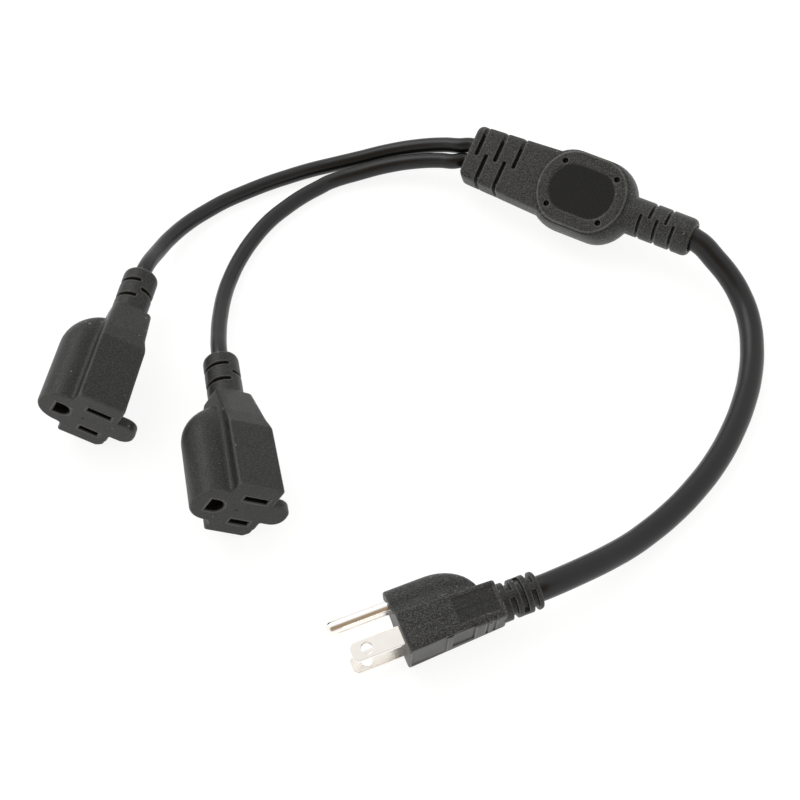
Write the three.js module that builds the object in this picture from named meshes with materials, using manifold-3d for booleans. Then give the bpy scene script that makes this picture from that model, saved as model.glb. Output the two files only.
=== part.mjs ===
// Power cord splitter: one grounded plug, a moulded junction and two grounded sockets on three cords.
// Millimetres, +Z up. It lies on a table at z = 0, with X to the viewer's right and Y away from them.
import * as THREE from "three";
import { mergeVertices } from "three/addons/utils/BufferGeometryUtils.js";
import Module from "manifold-3d";

const wasm = await Module();
wasm.setup();

// Clearance kept between pieces that touch on the real thing.
const GAP = 0.3;

// The standard pattern of the prongs: two flat blades and a round ground pin beside them.
const BLADE_OFFSET = 6.35;
const GROUND_OFFSET = 11.9;

const blade = { width: 6.35, thickness: 1.5, length: 17, tip: 1.3, holeRadius: 1.9, holePlace: 11.9 };
const pin = { radius: 2.4, length: 21.2 };

// Each cord with the insulated conductors in it: their radius, and how far each lies from the middle.
const mainCord = { radius: 4.25, wire: 1.35, ring: 1.9 };
const legCord = { radius: 2.9, wire: 0.9, ring: 1.3 };
// How finely the cords and the conductors are drawn, round and along.
const CORD_SIDES = 10;
const CORD_STEPS = 26;
const WIRE_SIDES = 7;
const WIRE_STEPS = 15;
const LEG_WIRE_STEPS = 18;

// Crimp barrels: their wall and length, and how far a conductor goes into one.
const BARREL_WALL = 0.5;
const BARREL_LENGTH = 5;
const WIRE_BITE = 3.5;

// How far two forms of one solid run into each other where they join.
const BITE = 0.3;

// Sides of round forms.
const FINE = 28;
const COARSE = 14;

const pvc = new THREE.MeshStandardMaterial({ color: 0x3b3b39, roughness: 0.6, metalness: 0 });
const jacket = new THREE.MeshStandardMaterial({ color: 0x2f2f30, roughness: 0.45, metalness: 0 });
const nylon = new THREE.MeshStandardMaterial({ color: 0x26262a, roughness: 0.7, metalness: 0 });
const nickel = new THREE.MeshStandardMaterial({ color: 0xd9d3c8, roughness: 0.2, metalness: 1 });
const brass = new THREE.MeshStandardMaterial({ color: 0xb99850, roughness: 0.35, metalness: 1 });
const tinnedCopper = new THREE.MeshStandardMaterial({ color: 0xb8b2a6, roughness: 0.35, metalness: 1 });
const insulation = {
  line: new THREE.MeshStandardMaterial({ color: 0x1a1a1a, roughness: 0.5, metalness: 0 }),
  neutral: new THREE.MeshStandardMaterial({ color: 0xe8e6df, roughness: 0.5, metalness: 0 }),
  ground: new THREE.MeshStandardMaterial({ color: 0x1f7a3c, roughness: 0.5, metalness: 0 }),
};
const POLES = ["line", "neutral", "ground"];

// A closed geometry as a solid that can be joined and cut.
function solidOf(geometry) {
  const bare = geometry.clone();
  bare.deleteAttribute("normal");
  bare.deleteAttribute("uv");
  const merged = mergeVertices(bare, 1e-4);
  const corners = merged.index.array;
  const kept = [];
  for (let i = 0; i < corners.length; i += 3) {
    const [a, b, c] = [corners[i], corners[i + 1], corners[i + 2]];
    if (a !== b && b !== c && c !== a) kept.push(a, b, c);
  }
  const vertProperties = new Float32Array(merged.attributes.position.array);
  const triVerts = new Uint32Array(kept);
  return new wasm.Manifold(new wasm.Mesh({ numProp: 3, vertProperties, triVerts }));
}

// A solid as a named mesh with its material.
function piece(name, solid, material) {
  const { vertProperties, triVerts } = solid.getMesh();
  const geometry = new THREE.BufferGeometry();
  geometry.setAttribute("position", new THREE.BufferAttribute(vertProperties, 3));
  geometry.setIndex(new THREE.BufferAttribute(triVerts, 1));
  geometry.computeVertexNormals();
  const mesh = new THREE.Mesh(geometry, material);
  mesh.name = name;
  return mesh;
}

function joined(solids) {
  return solids.reduce((sum, next) => sum.add(next));
}

function cut(solid, tools) {
  return tools.reduce((left, tool) => left.subtract(tool), solid);
}

function box([x0, x1], [y0, y1], [z0, z1]) {
  const geometry = new THREE.BoxGeometry(x1 - x0, y1 - y0, z1 - z0);
  geometry.translate((x0 + x1) / 2, (y0 + y1) / 2, (z0 + z1) / 2);
  return solidOf(geometry);
}

// A round bar along Z.
function rod(radius, [z0, z1], x = 0, y = 0, sides = FINE) {
  const geometry = new THREE.CylinderGeometry(radius, radius, z1 - z0, sides);
  geometry.rotateX(Math.PI / 2);
  geometry.translate(x, y, (z0 + z1) / 2);
  return solidOf(geometry);
}

// A form turned about Z from [radius, z] points, from low z to high z.
function turned(profile, x = 0, y = 0) {
  const points = profile.map(([radius, z]) => new THREE.Vector2(radius, z));
  const geometry = new THREE.LatheGeometry(points, FINE);
  geometry.rotateX(Math.PI / 2);
  geometry.translate(x, y, 0);
  return solidOf(geometry);
}

// A shape in X and Y drawn through levels of Z, from low to high. Each level holds its place in Z
// and moves the shape's points by its own rule.
function drawn(shape, levels, curveSegments = 6) {
  const steps = levels.length - 1;
  const options = { depth: steps, steps, curveSegments, bevelEnabled: false };
  const geometry = new THREE.ExtrudeGeometry(shape, options);
  const position = geometry.attributes.position;
  for (let i = 0; i < position.count; i += 1) {
    const { z, move } = levels[Math.round(position.getZ(i))];
    const [x, y] = move(position.getX(i), position.getY(i));
    position.setXYZ(i, x, y, z);
  }
  return solidOf(geometry);
}

function prism(shape, [z0, z1], curveSegments = 6) {
  const stay = (x, y) => [x, y];
  return drawn(shape, [{ z: z0, move: stay }, { z: z1, move: stay }], curveSegments);
}

// A tube of one radius through points.
function tube(points, radius, sides, steps) {
  const path = new THREE.CatmullRomCurve3(points.map((p) => new THREE.Vector3(...p)), false, "centripetal");
  const section = new THREE.Shape();
  for (let i = 0; i < sides; i += 1) {
    const angle = (i / sides) * Math.PI * 2;
    const [x, y] = [radius * Math.cos(angle), radius * Math.sin(angle)];
    if (i === 0) section.moveTo(x, y);
    else section.lineTo(x, y);
  }
  return solidOf(new THREE.ExtrudeGeometry(section, { steps, extrudePath: path, bevelEnabled: false }));
}

// A groove round half of a strain relief along Z. It stops short of the mould's parting plane by
// half a web, and its middle faces the turn, in degrees from +X.
function halfGroove({ radius, floor, grooveWidth, web }, z, turn) {
  const span = [z - grooveWidth / 2, z + grooveWidth / 2];
  const reach = radius + 2;
  const ring = rod(reach, span).subtract(rod(floor, [span[0] - 1, span[1] + 1]));
  return ring.intersect(box([web / 2, reach + 1], [-reach - 1, reach + 1], [span[0] - 1, span[1] + 1]))
    .rotate([0, 0, turn]);
}

// A crimp barrel hangs from the tail of a contact or prong, along Z below its front.
function barrelRadius(wire) {
  return wire + GAP + BARREL_WALL;
}

function barrel(wire, front, [x, y]) {
  const rear = front - BARREL_LENGTH;
  const shell = rod(barrelRadius(wire), [rear, front], x, y, COARSE);
  return shell.subtract(rod(wire + GAP, [rear - 1, rear + WIRE_BITE + GAP], x, y, COARSE));
}

// A conductor runs from inside its barrel to the end of the cord's jacket, moulded in all the way.
function conductorPath(barrelRear, [x, y], [endX, endY], jacketEnd) {
  const bend = (barrelRear - jacketEnd) / 3;
  return [
    [x, y, barrelRear + WIRE_BITE],
    [x, y, barrelRear],
    [(5 * x + endX) / 6, (5 * y + endY) / 6, barrelRear - bend * 0.5],
    [(x + 5 * endX) / 6, (y + 5 * endY) / 6, barrelRear - bend * 1.8],
    [endX, endY, barrelRear - bend * 2.3],
    [endX, endY, jacketEnd],
  ];
}

// The three conductors lie in a triangle round the middle of the cord.
function wirePlaces({ ring }, centre, neutralSide) {
  const [across, side] = [ring * Math.cos(Math.PI / 3), ring * Math.sin(Math.PI / 3)];
  return {
    line: [centre + across, -side * neutralSide],
    neutral: [centre + across, side * neutralSide],
    ground: [centre - ring, 0],
  };
}

// The shallow round room inside a mouth, where the conductors come out of the moulding together.
const MOUTH_ROOM = 0.8;

function mouthRoom({ ring, wire }, mouth) {
  return rod(ring + wire + GAP, [mouth - 1, mouth + MOUTH_ROOM]);
}

// The poles seen from a face. A plug has line and neutral the other way round from a socket.
function polePlaces(neutralSide) {
  return {
    line: [0, -BLADE_OFFSET * neutralSide],
    neutral: [0, BLADE_OFFSET * neutralSide],
    ground: [-GROUND_OFFSET, 0],
  };
}

// A bored strain relief ends in a rounded cap round the cord.
function reliefBar({ radius, capRound, capRadius }, [mouth, root]) {
  return turned([
    [0, mouth], [capRadius, mouth], [(capRadius + radius) / 2, mouth + capRound * 0.3],
    [radius, mouth + capRound], [radius, root], [0, root],
  ]);
}

// A rounded lobe over the ground pole that runs into the body's side by two hollow fillets.
function lobeShape({ left, lobeRadius, lobeFillet }, inner) {
  const shape = new THREE.Shape();
  shape.moveTo(inner, lobeRadius + lobeFillet);
  shape.lineTo(left, lobeRadius + lobeFillet);
  shape.quadraticCurveTo(left, lobeRadius, -GROUND_OFFSET, lobeRadius);
  shape.absarc(-GROUND_OFFSET, 0, lobeRadius, Math.PI / 2, Math.PI * 1.5);
  shape.quadraticCurveTo(left, -lobeRadius, left, -lobeRadius - lobeFillet);
  shape.lineTo(inner, -lobeRadius - lobeFillet);
  return shape;
}

// The lobe is straight behind the face, and its rear end is a dome that runs down to the body.
function lobeSolid(sizes, inner) {
  const { lobeLength, lobeDome } = sizes;
  const dome = [88, 72, 55, 38, 20, 0].map((degrees) => {
    const angle = radians(degrees);
    const rise = Math.cos(angle);
    return {
      z: -lobeLength - lobeDome * Math.sin(angle),
      move: (x, y) => [inner + (x - inner) * rise, y * (0.45 + 0.55 * rise)],
    };
  });
  return drawn(lobeShape(sizes, inner), [...dome, { z: 0, move: (x, y) => [x, y] }]);
}

// Socket: its face is at z = 0 and looks along +Z, and its cord leaves at the far end.
const socket = {
  left: -9.5, right: 7.3, halfHeight: 13.4, corner: 1.3, keyChamfer: 2.1,
  shoulder: 26, stepEnd: 31, neckEnd: 46.5, neckLeft: -8, neckRight: 6, neckHalf: 6.2,
  lobeRadius: 8.3, lobeFillet: 2.3, lobeLength: 25, lobeDome: 13.5,
  tabEnd: 14.7, tabHalf: 5.2, tabThickness: 4, tabCorner: 4,
  axis: -1.5, length: 64.5,
  faceWall: 2.4, carrierLength: 17, carrierRight: 5, carrierLeft: -7.4, carrierHalf: 10.4, carrierLobe: 5.2,
  slotThickness: 2, neutralSlot: 8.3, lineSlot: 6.6, groundHole: 2.95, groundFlat: 2.3,
};
const socketRelief = {
  radius: 6.25, floor: 4.3, grooveWidth: 1.3, web: 0.9, capRound: 1.8, capRadius: 4.7,
};
// Each groove's place along the relief, and the way that its middle faces.
const socketGrooves = [[51.5, 180], [54.9, 0], [58.3, 180]];

// Contacts: two leaf springs for a blade, and a slit sleeve for the ground pin.
const leaf = { halfWidth: 2.6, thickness: 0.5, apart: 1.1, front: 4, length: 13.5, tailHalf: 0.8, tail: 2 };
const sleeve = { inner: 2.45, outer: 3, slit: 1.2 };

// The body's section: one corner on the tab's side is cut off as a key.
function socketCoreShape() {
  const { left, right, halfHeight, corner, keyChamfer } = socket;
  const shape = new THREE.Shape();
  shape.moveTo(left + corner, -halfHeight);
  shape.lineTo(right - keyChamfer, -halfHeight);
  shape.lineTo(right, -halfHeight + keyChamfer);
  shape.lineTo(right, halfHeight - corner);
  shape.quadraticCurveTo(right, halfHeight, right - corner, halfHeight);
  shape.lineTo(left + corner, halfHeight);
  shape.quadraticCurveTo(left, halfHeight, left, halfHeight - corner);
  shape.lineTo(left, -halfHeight + corner);
  shape.quadraticCurveTo(left, -halfHeight, left + corner, -halfHeight);
  return shape;
}

// A moulded-on tab beside the face, with rounded corners.
function tabShape() {
  const { right, tabEnd, tabHalf, tabCorner } = socket;
  const shape = new THREE.Shape();
  shape.moveTo(right - 1, -tabHalf);
  shape.lineTo(tabEnd - tabCorner, -tabHalf);
  shape.quadraticCurveTo(tabEnd, -tabHalf, tabEnd, -tabHalf + tabCorner);
  shape.lineTo(tabEnd, tabHalf - tabCorner);
  shape.quadraticCurveTo(tabEnd, tabHalf, tabEnd - tabCorner, tabHalf);
  shape.lineTo(right - 1, tabHalf);
  return shape;
}

function carrierShape(grow) {
  const { carrierLeft, carrierRight, carrierHalf, carrierLobe } = socket;
  const [left, right] = [carrierLeft - grow, carrierRight + grow];
  const [half, lobe] = [carrierHalf + grow, carrierLobe + grow];
  const shape = new THREE.Shape();
  shape.moveTo(left, -half);
  shape.lineTo(right, -half);
  shape.lineTo(right, half);
  shape.lineTo(left, half);
  shape.lineTo(left, lobe);
  shape.lineTo(-GROUND_OFFSET, lobe);
  shape.absarc(-GROUND_OFFSET, 0, lobe, Math.PI / 2, Math.PI * 1.5);
  shape.lineTo(left, -lobe);
  return shape;
}

// The ground hole is round with a flat on its outer side.
function groundHoleShape() {
  const { groundHole, groundFlat } = socket;
  const start = Math.acos(-groundFlat / groundHole);
  const shape = new THREE.Shape();
  shape.absarc(-GROUND_OFFSET, 0, groundHole, -start, start);
  return shape;
}

function contactBarrelFront() {
  return -leaf.front - leaf.length - leaf.tail;
}

function socketBody(paths) {
  const { left, right, halfHeight, shoulder, stepEnd, neckEnd, neckLeft, neckRight, neckHalf } = socket;
  const { tabThickness, axis, length, faceWall, carrierLength } = socket;
  const { slotThickness, neutralSlot, lineSlot } = socket;
  const fit = (x0, x1, half) => (x, y) => [
    x0 + ((x - left) * (x1 - x0)) / (right - left),
    (y * half) / halfHeight,
  ];
  const core = drawn(socketCoreShape(), [
    { z: -neckEnd, move: fit(neckLeft, neckRight, neckHalf) },
    { z: -stepEnd, move: fit(left + 0.4, neckRight, halfHeight - 1.9) },
    { z: -shoulder, move: fit(left, right - 0.3, halfHeight - 0.5) },
    { z: 0, move: fit(left, right, halfHeight) },
  ], 3);
  const relief = cut(
    reliefBar(socketRelief, [-length, -neckEnd + 2]),
    socketGrooves.map(([place, turn]) => halfGroove(socketRelief, -place, turn)),
  );
  const solid = joined([
    core,
    lobeSolid(socket, neckLeft + 0.5),
    prism(tabShape(), [-tabThickness, 0], 4),
    relief.translate([axis, 0, 0]),
  ]);
  const poles = polePlaces(1);
  const slot = ([x, y], width) => box(
    [x - width / 2, x + width / 2], [y - slotThickness / 2, y + slotThickness / 2], [-faceWall - 1, 1],
  );
  const pocketRear = -faceWall - carrierLength - 2 * GAP;
  const barrelSpan = [contactBarrelFront() - BARREL_LENGTH - GAP, pocketRear + 1];
  return cut(solid, [
    slot(poles.neutral, neutralSlot),
    slot(poles.line, lineSlot),
    prism(groundHoleShape(), [-faceWall - 1, 1], 8),
    prism(carrierShape(GAP), [pocketRear, -faceWall]),
    ...POLES.map((pole) => rod(barrelRadius(legCord.wire) + GAP, barrelSpan, ...poles[pole], COARSE)),
    ...POLES.map((pole) => tube(paths[pole], legCord.wire + GAP, WIRE_SIDES, WIRE_STEPS)),
    mouthRoom(legCord, -length).translate([axis, 0, 0]),
  ]);
}

// The rigid insert that holds the contacts in line behind the face.
function socketCarrier() {
  const { faceWall, carrierLength, slotThickness, neutralSlot } = socket;
  const [rear, front] = [-faceWall - GAP - carrierLength, -faceWall - GAP];
  const through = [rear - 1, front + 1];
  const poles = polePlaces(1);
  const half = slotThickness / 2 + leaf.thickness + GAP;
  const pocket = ([x, y]) => box([x - neutralSlot / 2, x + neutralSlot / 2], [y - half, y + half], through);
  return cut(prism(carrierShape(0), [rear, front]), [
    pocket(poles.line),
    pocket(poles.neutral),
    rod(sleeve.outer + GAP, through, ...poles.ground),
  ]);
}

// A contact's tail joins its springs to the crimp barrel behind them.
function contactTail([x, y], root) {
  const { tailHalf, tail } = leaf;
  return joined([
    box(
      [x - tailHalf, x + tailHalf], [y - tailHalf / 2, y + tailHalf / 2],
      [root - tail - BITE, root + BITE],
    ),
    barrel(legCord.wire, root - tail, [x, y]),
  ]);
}

function bladeContact([x, y]) {
  const { halfWidth, thickness, apart, front, length } = leaf;
  const root = -front - length;
  const outer = apart / 2 + thickness;
  const channel = box([x - halfWidth, x + halfWidth], [y - outer, y + outer], [root, -front]);
  const mouth = box(
    [x - halfWidth - 1, x + halfWidth + 1], [y - apart / 2, y + apart / 2], [root + thickness, 0],
  );
  return joined([channel.subtract(mouth), contactTail([x, y], root)]);
}

function groundContact([x, y]) {
  const { thickness, front, length } = leaf;
  const { inner, outer, slit } = sleeve;
  const root = -front - length;
  const shell = cut(rod(outer, [root, -front], x, y), [
    rod(inner, [root + thickness, 0], x, y),
    box([x - outer - 1, x + outer + 1], [y - slit / 2, y + slit / 2], [root + 3 * thickness, 0]),
  ]);
  return joined([shell, contactTail([x, y], root)]);
}

function buildSocket(side) {
  const { axis, length } = socket;
  const poles = polePlaces(1);
  const ends = wirePlaces(legCord, axis, 1);
  const barrelRear = contactBarrelFront() - BARREL_LENGTH;
  const paths = Object.fromEntries(POLES.map((pole) => [
    pole, conductorPath(barrelRear, poles[pole], ends[pole], -length),
  ]));
  const group = new THREE.Group();
  group.add(piece(`${side}_socket_body`, socketBody(paths), pvc));
  group.add(piece(`${side}_socket_carrier`, socketCarrier(), nylon));
  group.add(piece(`${side}_socket_line_contact`, bladeContact(poles.line), brass));
  group.add(piece(`${side}_socket_neutral_contact`, bladeContact(poles.neutral), brass));
  group.add(piece(`${side}_socket_ground_contact`, groundContact(poles.ground), brass));
  for (const pole of POLES) {
    const wire = tube(paths[pole], legCord.wire, WIRE_SIDES, WIRE_STEPS);
    group.add(piece(`${side}_socket_${pole}_wire`, wire, insulation[pole]));
  }
  return group;
}

// Plug: its face is at z = 0 and the prongs point along +Z. The cord leaves at the far end.
const plug = {
  left: -7, right: 6.8, halfHeight: 9.8, corner: 1.2, bodyLength: 33.5,
  rearLeft: -6.5, rearRight: 6, rearHalf: 6.8,
  lobeRadius: 5.05, lobeFillet: 2.2, lobeLength: 14, lobeDome: 13.5,
  length: 46.6, faceWall: 2.4,
  bridgeThickness: 4, bridgeHalfWidth: 4.4, bridgeHalfHeight: 8, bridgeLobe: 3.3,
  tailLength: 4, tailHalf: 1.2,
  recess: 0.35, recessFront: 18.3, recessRear: 32, recessLeft: -4.9, recessRight: 3.7,
};
const plugRelief = {
  radius: 6.3, floor: 5, grooveWidth: 1.7, web: 2.4, capRound: 0.8, capRadius: 5.9,
};
const plugGrooves = [[36.8, 0], [36.8, 180], [40.2, 90], [40.2, 270], [44, 0], [44, 180]];
// Shallow panels of the grip: each runs from z to z behind the face, and from y to y.
const gripPanels = [
  [0.8, 12.6, -7, 7.5], [14.7, 22.2, -4, 7.2], [26.2, 27, -4.5, 5.3], [28.8, 29.6, -4.5, 5.3],
];
const GRIP_DEPTH = 0.35;

function roundedBox([x0, x1], [y0, y1], radius) {
  const shape = new THREE.Shape();
  shape.moveTo(x0 + radius, y0);
  shape.lineTo(x1 - radius, y0);
  shape.absarc(x1 - radius, y0 + radius, radius, -Math.PI / 2, 0);
  shape.absarc(x1 - radius, y1 - radius, radius, 0, Math.PI / 2);
  shape.absarc(x0 + radius, y1 - radius, radius, Math.PI / 2, Math.PI);
  shape.absarc(x0 + radius, y0 + radius, radius, Math.PI, Math.PI * 1.5);
  return shape;
}

// The bridge is the moulded block that spaces the prongs behind the face.
function bridgeSolid(grow, span) {
  const { bridgeHalfWidth, bridgeHalfHeight, bridgeLobe } = plug;
  const [halfWidth, halfHeight] = [bridgeHalfWidth + grow, bridgeHalfHeight + grow];
  return joined([
    box([-halfWidth, halfWidth], [-halfHeight, halfHeight], span),
    rod(bridgeLobe + grow, span, -GROUND_OFFSET, 0),
    box([-GROUND_OFFSET, 0], [-bridgeLobe / 2 - grow, bridgeLobe / 2 + grow], span),
  ]);
}

// Holes for the three prongs, with their clearance.
function prongHoles(span) {
  const poles = polePlaces(-1);
  const slot = ([x, y]) => box(
    [x - blade.width / 2 - GAP, x + blade.width / 2 + GAP],
    [y - blade.thickness / 2 - GAP, y + blade.thickness / 2 + GAP], span,
  );
  return [slot(poles.line), slot(poles.neutral), rod(pin.radius + GAP, span, ...poles.ground)];
}

function prongBarrelFront() {
  return -plug.faceWall - GAP - plug.bridgeThickness - plug.tailLength;
}

function plugBody(paths) {
  const { left, right, halfHeight, corner, bodyLength, rearLeft, rearRight, rearHalf, length } = plug;
  const { faceWall, bridgeThickness, recess, recessFront, recessRear, recessLeft, recessRight } = plug;
  const narrow = (x, y) => [
    rearLeft + ((x - left) * (rearRight - rearLeft)) / (right - left),
    (y * rearHalf) / halfHeight,
  ];
  const shape = roundedBox([left, right], [-halfHeight, halfHeight], corner);
  const core = drawn(shape, [{ z: -bodyLength, move: narrow }, { z: 0, move: (x, y) => [x, y] }], 3);
  const relief = cut(
    reliefBar(plugRelief, [-length, -bodyLength + 1]),
    plugGrooves.map(([place, turn]) => halfGroove(plugRelief, -place, turn)),
  );
  const solid = joined([core, lobeSolid(plug, rearLeft + 0.5), relief]);
  const heightAt = (place) => halfHeight + ((rearHalf - halfHeight) * place) / bodyLength;
  const sideAt = (place) => right + ((rearRight - right) * place) / bodyLength;
  const field = drawn(
    roundedBox([recessLeft, recessRight], [0, 1], 0.2),
    [recessRear, recessFront].map((place) => ({
      z: -place, move: (x, y) => [x, heightAt(place) - recess + y * 2],
    })),
    2,
  );
  const panels = gripPanels.map(([z0, z1, y0, y1]) => box(
    [sideAt((z0 + z1) / 2) - GRIP_DEPTH, right + 2], [y0, y1], [-z1, -z0],
  ));
  const poles = polePlaces(-1);
  const pocketRear = -faceWall - bridgeThickness - 2 * GAP;
  const barrelSpan = [prongBarrelFront() - BARREL_LENGTH - GAP, pocketRear + 1];
  return cut(solid, [
    field,
    field.mirror([0, 1, 0]),
    ...panels,
    ...prongHoles([-faceWall - 1, 1]),
    bridgeSolid(GAP, [pocketRear, -faceWall]),
    ...POLES.map((pole) => rod(barrelRadius(mainCord.wire) + GAP, barrelSpan, ...poles[pole], COARSE)),
    ...POLES.map((pole) => tube(paths[pole], mainCord.wire + GAP, WIRE_SIDES, WIRE_STEPS)),
    mouthRoom(mainCord, -length),
  ]);
}

function plugBridge() {
  const { faceWall, bridgeThickness } = plug;
  const [rear, front] = [-faceWall - GAP - bridgeThickness, -faceWall - GAP];
  return cut(bridgeSolid(0, [rear, front]), prongHoles([rear - 1, front + 1]));
}

// Seen flat, a blade has cut tip corners. It runs back through the bridge to its crimp barrel.
function bladeProng([x, y]) {
  const { width, thickness, length, tip, holeRadius, holePlace } = blade;
  const root = -plug.faceWall - GAP - plug.bridgeThickness;
  const outline = new THREE.Shape();
  outline.moveTo(-width / 2, root);
  outline.lineTo(width / 2, root);
  outline.lineTo(width / 2, length - tip);
  outline.lineTo(width / 2 - tip, length);
  outline.lineTo(-width / 2 + tip, length);
  outline.lineTo(-width / 2, length - tip);
  const hole = new THREE.Path();
  hole.absarc(0, holePlace, holeRadius, 0, Math.PI * 2, true);
  outline.holes.push(hole);
  const flat = prism(outline, [-thickness / 2, thickness / 2], 12).rotate([90, 0, 0]);
  const front = prongBarrelFront();
  return joined([
    flat.translate([x, y, 0]),
    box(
      [x - plug.tailHalf, x + plug.tailHalf], [y - thickness / 2, y + thickness / 2],
      [front - BITE, root + BITE],
    ),
    barrel(mainCord.wire, front, [x, y]),
  ]);
}

function groundProng([x, y]) {
  const { radius, length } = pin;
  const root = -plug.faceWall - GAP - plug.bridgeThickness;
  const front = prongBarrelFront();
  const tip = [15, 30, 50, 70].map((degrees) => {
    const angle = radians(degrees);
    return [radius * Math.cos(angle), length - radius + radius * Math.sin(angle)];
  });
  return joined([
    turned([[0, root], [radius, root], [radius, length - radius], ...tip, [0, length]], x, y),
    rod(plug.tailHalf, [front - BITE, root + BITE], x, y, COARSE),
    barrel(mainCord.wire, front, [x, y]),
  ]);
}

function buildPlug() {
  const poles = polePlaces(-1);
  const ends = wirePlaces(mainCord, 0, -1);
  const barrelRear = prongBarrelFront() - BARREL_LENGTH;
  const paths = Object.fromEntries(POLES.map((pole) => [
    pole, conductorPath(barrelRear, poles[pole], ends[pole], -plug.length),
  ]));
  const group = new THREE.Group();
  group.add(piece("plug_body", plugBody(paths), pvc));
  group.add(piece("plug_bridge", plugBridge(), nylon));
  group.add(piece("plug_line_blade", bladeProng(poles.line), nickel));
  group.add(piece("plug_neutral_blade", bladeProng(poles.neutral), nickel));
  group.add(piece("plug_ground_pin", groundProng(poles.ground), nickel));
  for (const pole of POLES) {
    const wire = tube(paths[pole], mainCord.wire, WIRE_SIDES, WIRE_STEPS);
    group.add(piece(`plug_${pole}_wire`, wire, insulation[pole]));
  }
  return group;
}

// Junction: its long axis is X, with the plug's cord at +X and the two legs at -X. Z = 0 is the
// plane where the halves of its mould meet, and the two faces are alike.
const junction = {
  bossHalfLength: 17, bossHalfWidth: 14.2, halfThickness: 8, bossRise: 0.8,
  bodyHalfLength: 20.5, bodyHalfWidth: 15.4,
  padHalfLength: 12.8, padHalfWidth: 9.3, padDepth: 0.4,
  holeRadius: 1.05, holeDepth: 2, holeX: 10.46, holeY: 8.75,
  neckStart: -47, neckEnd: -8, neckCorner: 2, neckTopStart: 9.3, neckTopEnd: 11.7,
  neckMidStart: 11.5, neckMidEnd: 13.1, combCoreWidth: 8, combCoreHeight: 4.6, combWidth: 1.5,
  tubeEnd: 43.7, legSpread: 3.15,
};
const junctionRelief = { radius: 7.2, floor: 5.2, grooveWidth: 1.3, web: 0, capRound: 2, capRadius: 5.4 };
// Comb slots of the neck: place along X, side that each is cut from, and how far it goes across.
const combSlots = [[-43.6, 1, -1], [-35.8, 1, -1], [-28.1, 1, -1], [-39.2, -1, 0.5], [-31.8, -1, 0.5]];
// Grooves of the single end: place along X, and the way that its middle faces about the axis.
const junctionGrooves = [[27.3, 90], [33.8, 90], [24, 270], [30.7, 270], [36.8, 270]];
// The splices, and how the conductors fan out to them: between which places, how far straight on
// before that, and how far apart a leg's conductors are there.
const splice = {
  halfLength: 5.5, wall: 0.5, apart: 6.6, level: 1.15,
  fanStart: 24, fanEnd: 9, fanLead: 3, legLead: 4, fanSpread: 2.3,
};

function spliceRadius() {
  return splice.level + legCord.wire + GAP;
}

// An oval with straight sides and blunt round ends.
function ovalShape(halfLength, halfWidth) {
  const straight = halfLength - halfWidth * 0.86;
  const shape = new THREE.Shape();
  shape.moveTo(-straight, -halfWidth);
  shape.lineTo(straight, -halfWidth);
  shape.absellipse(straight, 0, halfLength - straight, halfWidth, -Math.PI / 2, Math.PI / 2);
  shape.lineTo(-straight, halfWidth);
  shape.absellipse(-straight, 0, halfLength - straight, halfWidth, Math.PI / 2, Math.PI * 1.5);
  return shape;
}

function junctionOval() {
  const { bossHalfLength, bossHalfWidth, bossRise } = junction;
  const { bodyHalfLength, bodyHalfWidth, halfThickness } = junction;
  const grow = (share) => (x, y) => [
    (x * (bossHalfLength + (bodyHalfLength - bossHalfLength) * share)) / bossHalfLength,
    (y * (bossHalfWidth + (bodyHalfWidth - bossHalfWidth) * share)) / bossHalfWidth,
  ];
  const rise = [[0, 0], [bossRise, 0.12], [bossRise + 1.2, 0.5], [halfThickness - 2.5, 0.95]];
  const below = rise.map(([depth, share]) => ({ z: depth - halfThickness, move: grow(share) }));
  const above = rise.map(([depth, share]) => ({ z: halfThickness - depth, move: grow(share) })).reverse();
  return drawn(ovalShape(bossHalfLength, bossHalfWidth), [...below, { z: 0, move: grow(1) }, ...above], 10);
}

// The flat neck over the two legs: its sides slope out to the parting plane.
function junctionNeck() {
  const { neckStart, neckEnd, neckCorner, neckTopStart, neckTopEnd, neckMidStart, neckMidEnd } = junction;
  const halfHeight = junction.halfThickness - junction.bossRise;
  const shape = new THREE.Shape();
  shape.moveTo(neckEnd, -1);
  shape.lineTo(neckEnd, 1);
  shape.lineTo(neckStart + neckCorner, 1);
  shape.quadraticCurveTo(neckStart, 1, neckStart, 1 - neckCorner / neckMidStart);
  shape.lineTo(neckStart, -1 + neckCorner / neckMidStart);
  shape.quadraticCurveTo(neckStart, -1, neckStart + neckCorner, -1);
  const widen = (share) => (x, y) => {
    const along = (x - neckStart) / (neckEnd - neckStart);
    const top = neckTopStart + (neckTopEnd - neckTopStart) * along;
    const middle = neckMidStart + (neckMidEnd - neckMidStart) * along;
    return [x, y * (top + (middle - top) * share)];
  };
  return drawn(shape, [
    { z: -halfHeight, move: widen(0) },
    { z: -halfHeight + 0.9, move: widen(0.45) },
    { z: 0, move: widen(1) },
    { z: halfHeight - 0.9, move: widen(0.45) },
    { z: halfHeight, move: widen(0) },
  ], 3);
}

// A comb slot goes over, beside and under the core of the neck, on one side only.
function combSlot([x, side, edge]) {
  const { combWidth, combCoreWidth, combCoreHeight, halfThickness, bodyHalfWidth } = junction;
  const span = [x - combWidth / 2, x + combWidth / 2];
  const reach = bodyHalfWidth + 2;
  const y = side > 0 ? [edge, reach] : [-reach, edge];
  return box(span, y, [-halfThickness - 1, halfThickness + 1]).subtract(
    box(
      [span[0] - 1, span[1] + 1], [-combCoreWidth, combCoreWidth], [-combCoreHeight, combCoreHeight],
    ),
  );
}

// Turns a form that was made along Z so that it lies along X.
function alongX(solid) {
  return solid.rotate([0, 90, 0]);
}

function splicePlaces() {
  return { line: -splice.apart, neutral: 0, ground: splice.apart };
}

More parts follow.
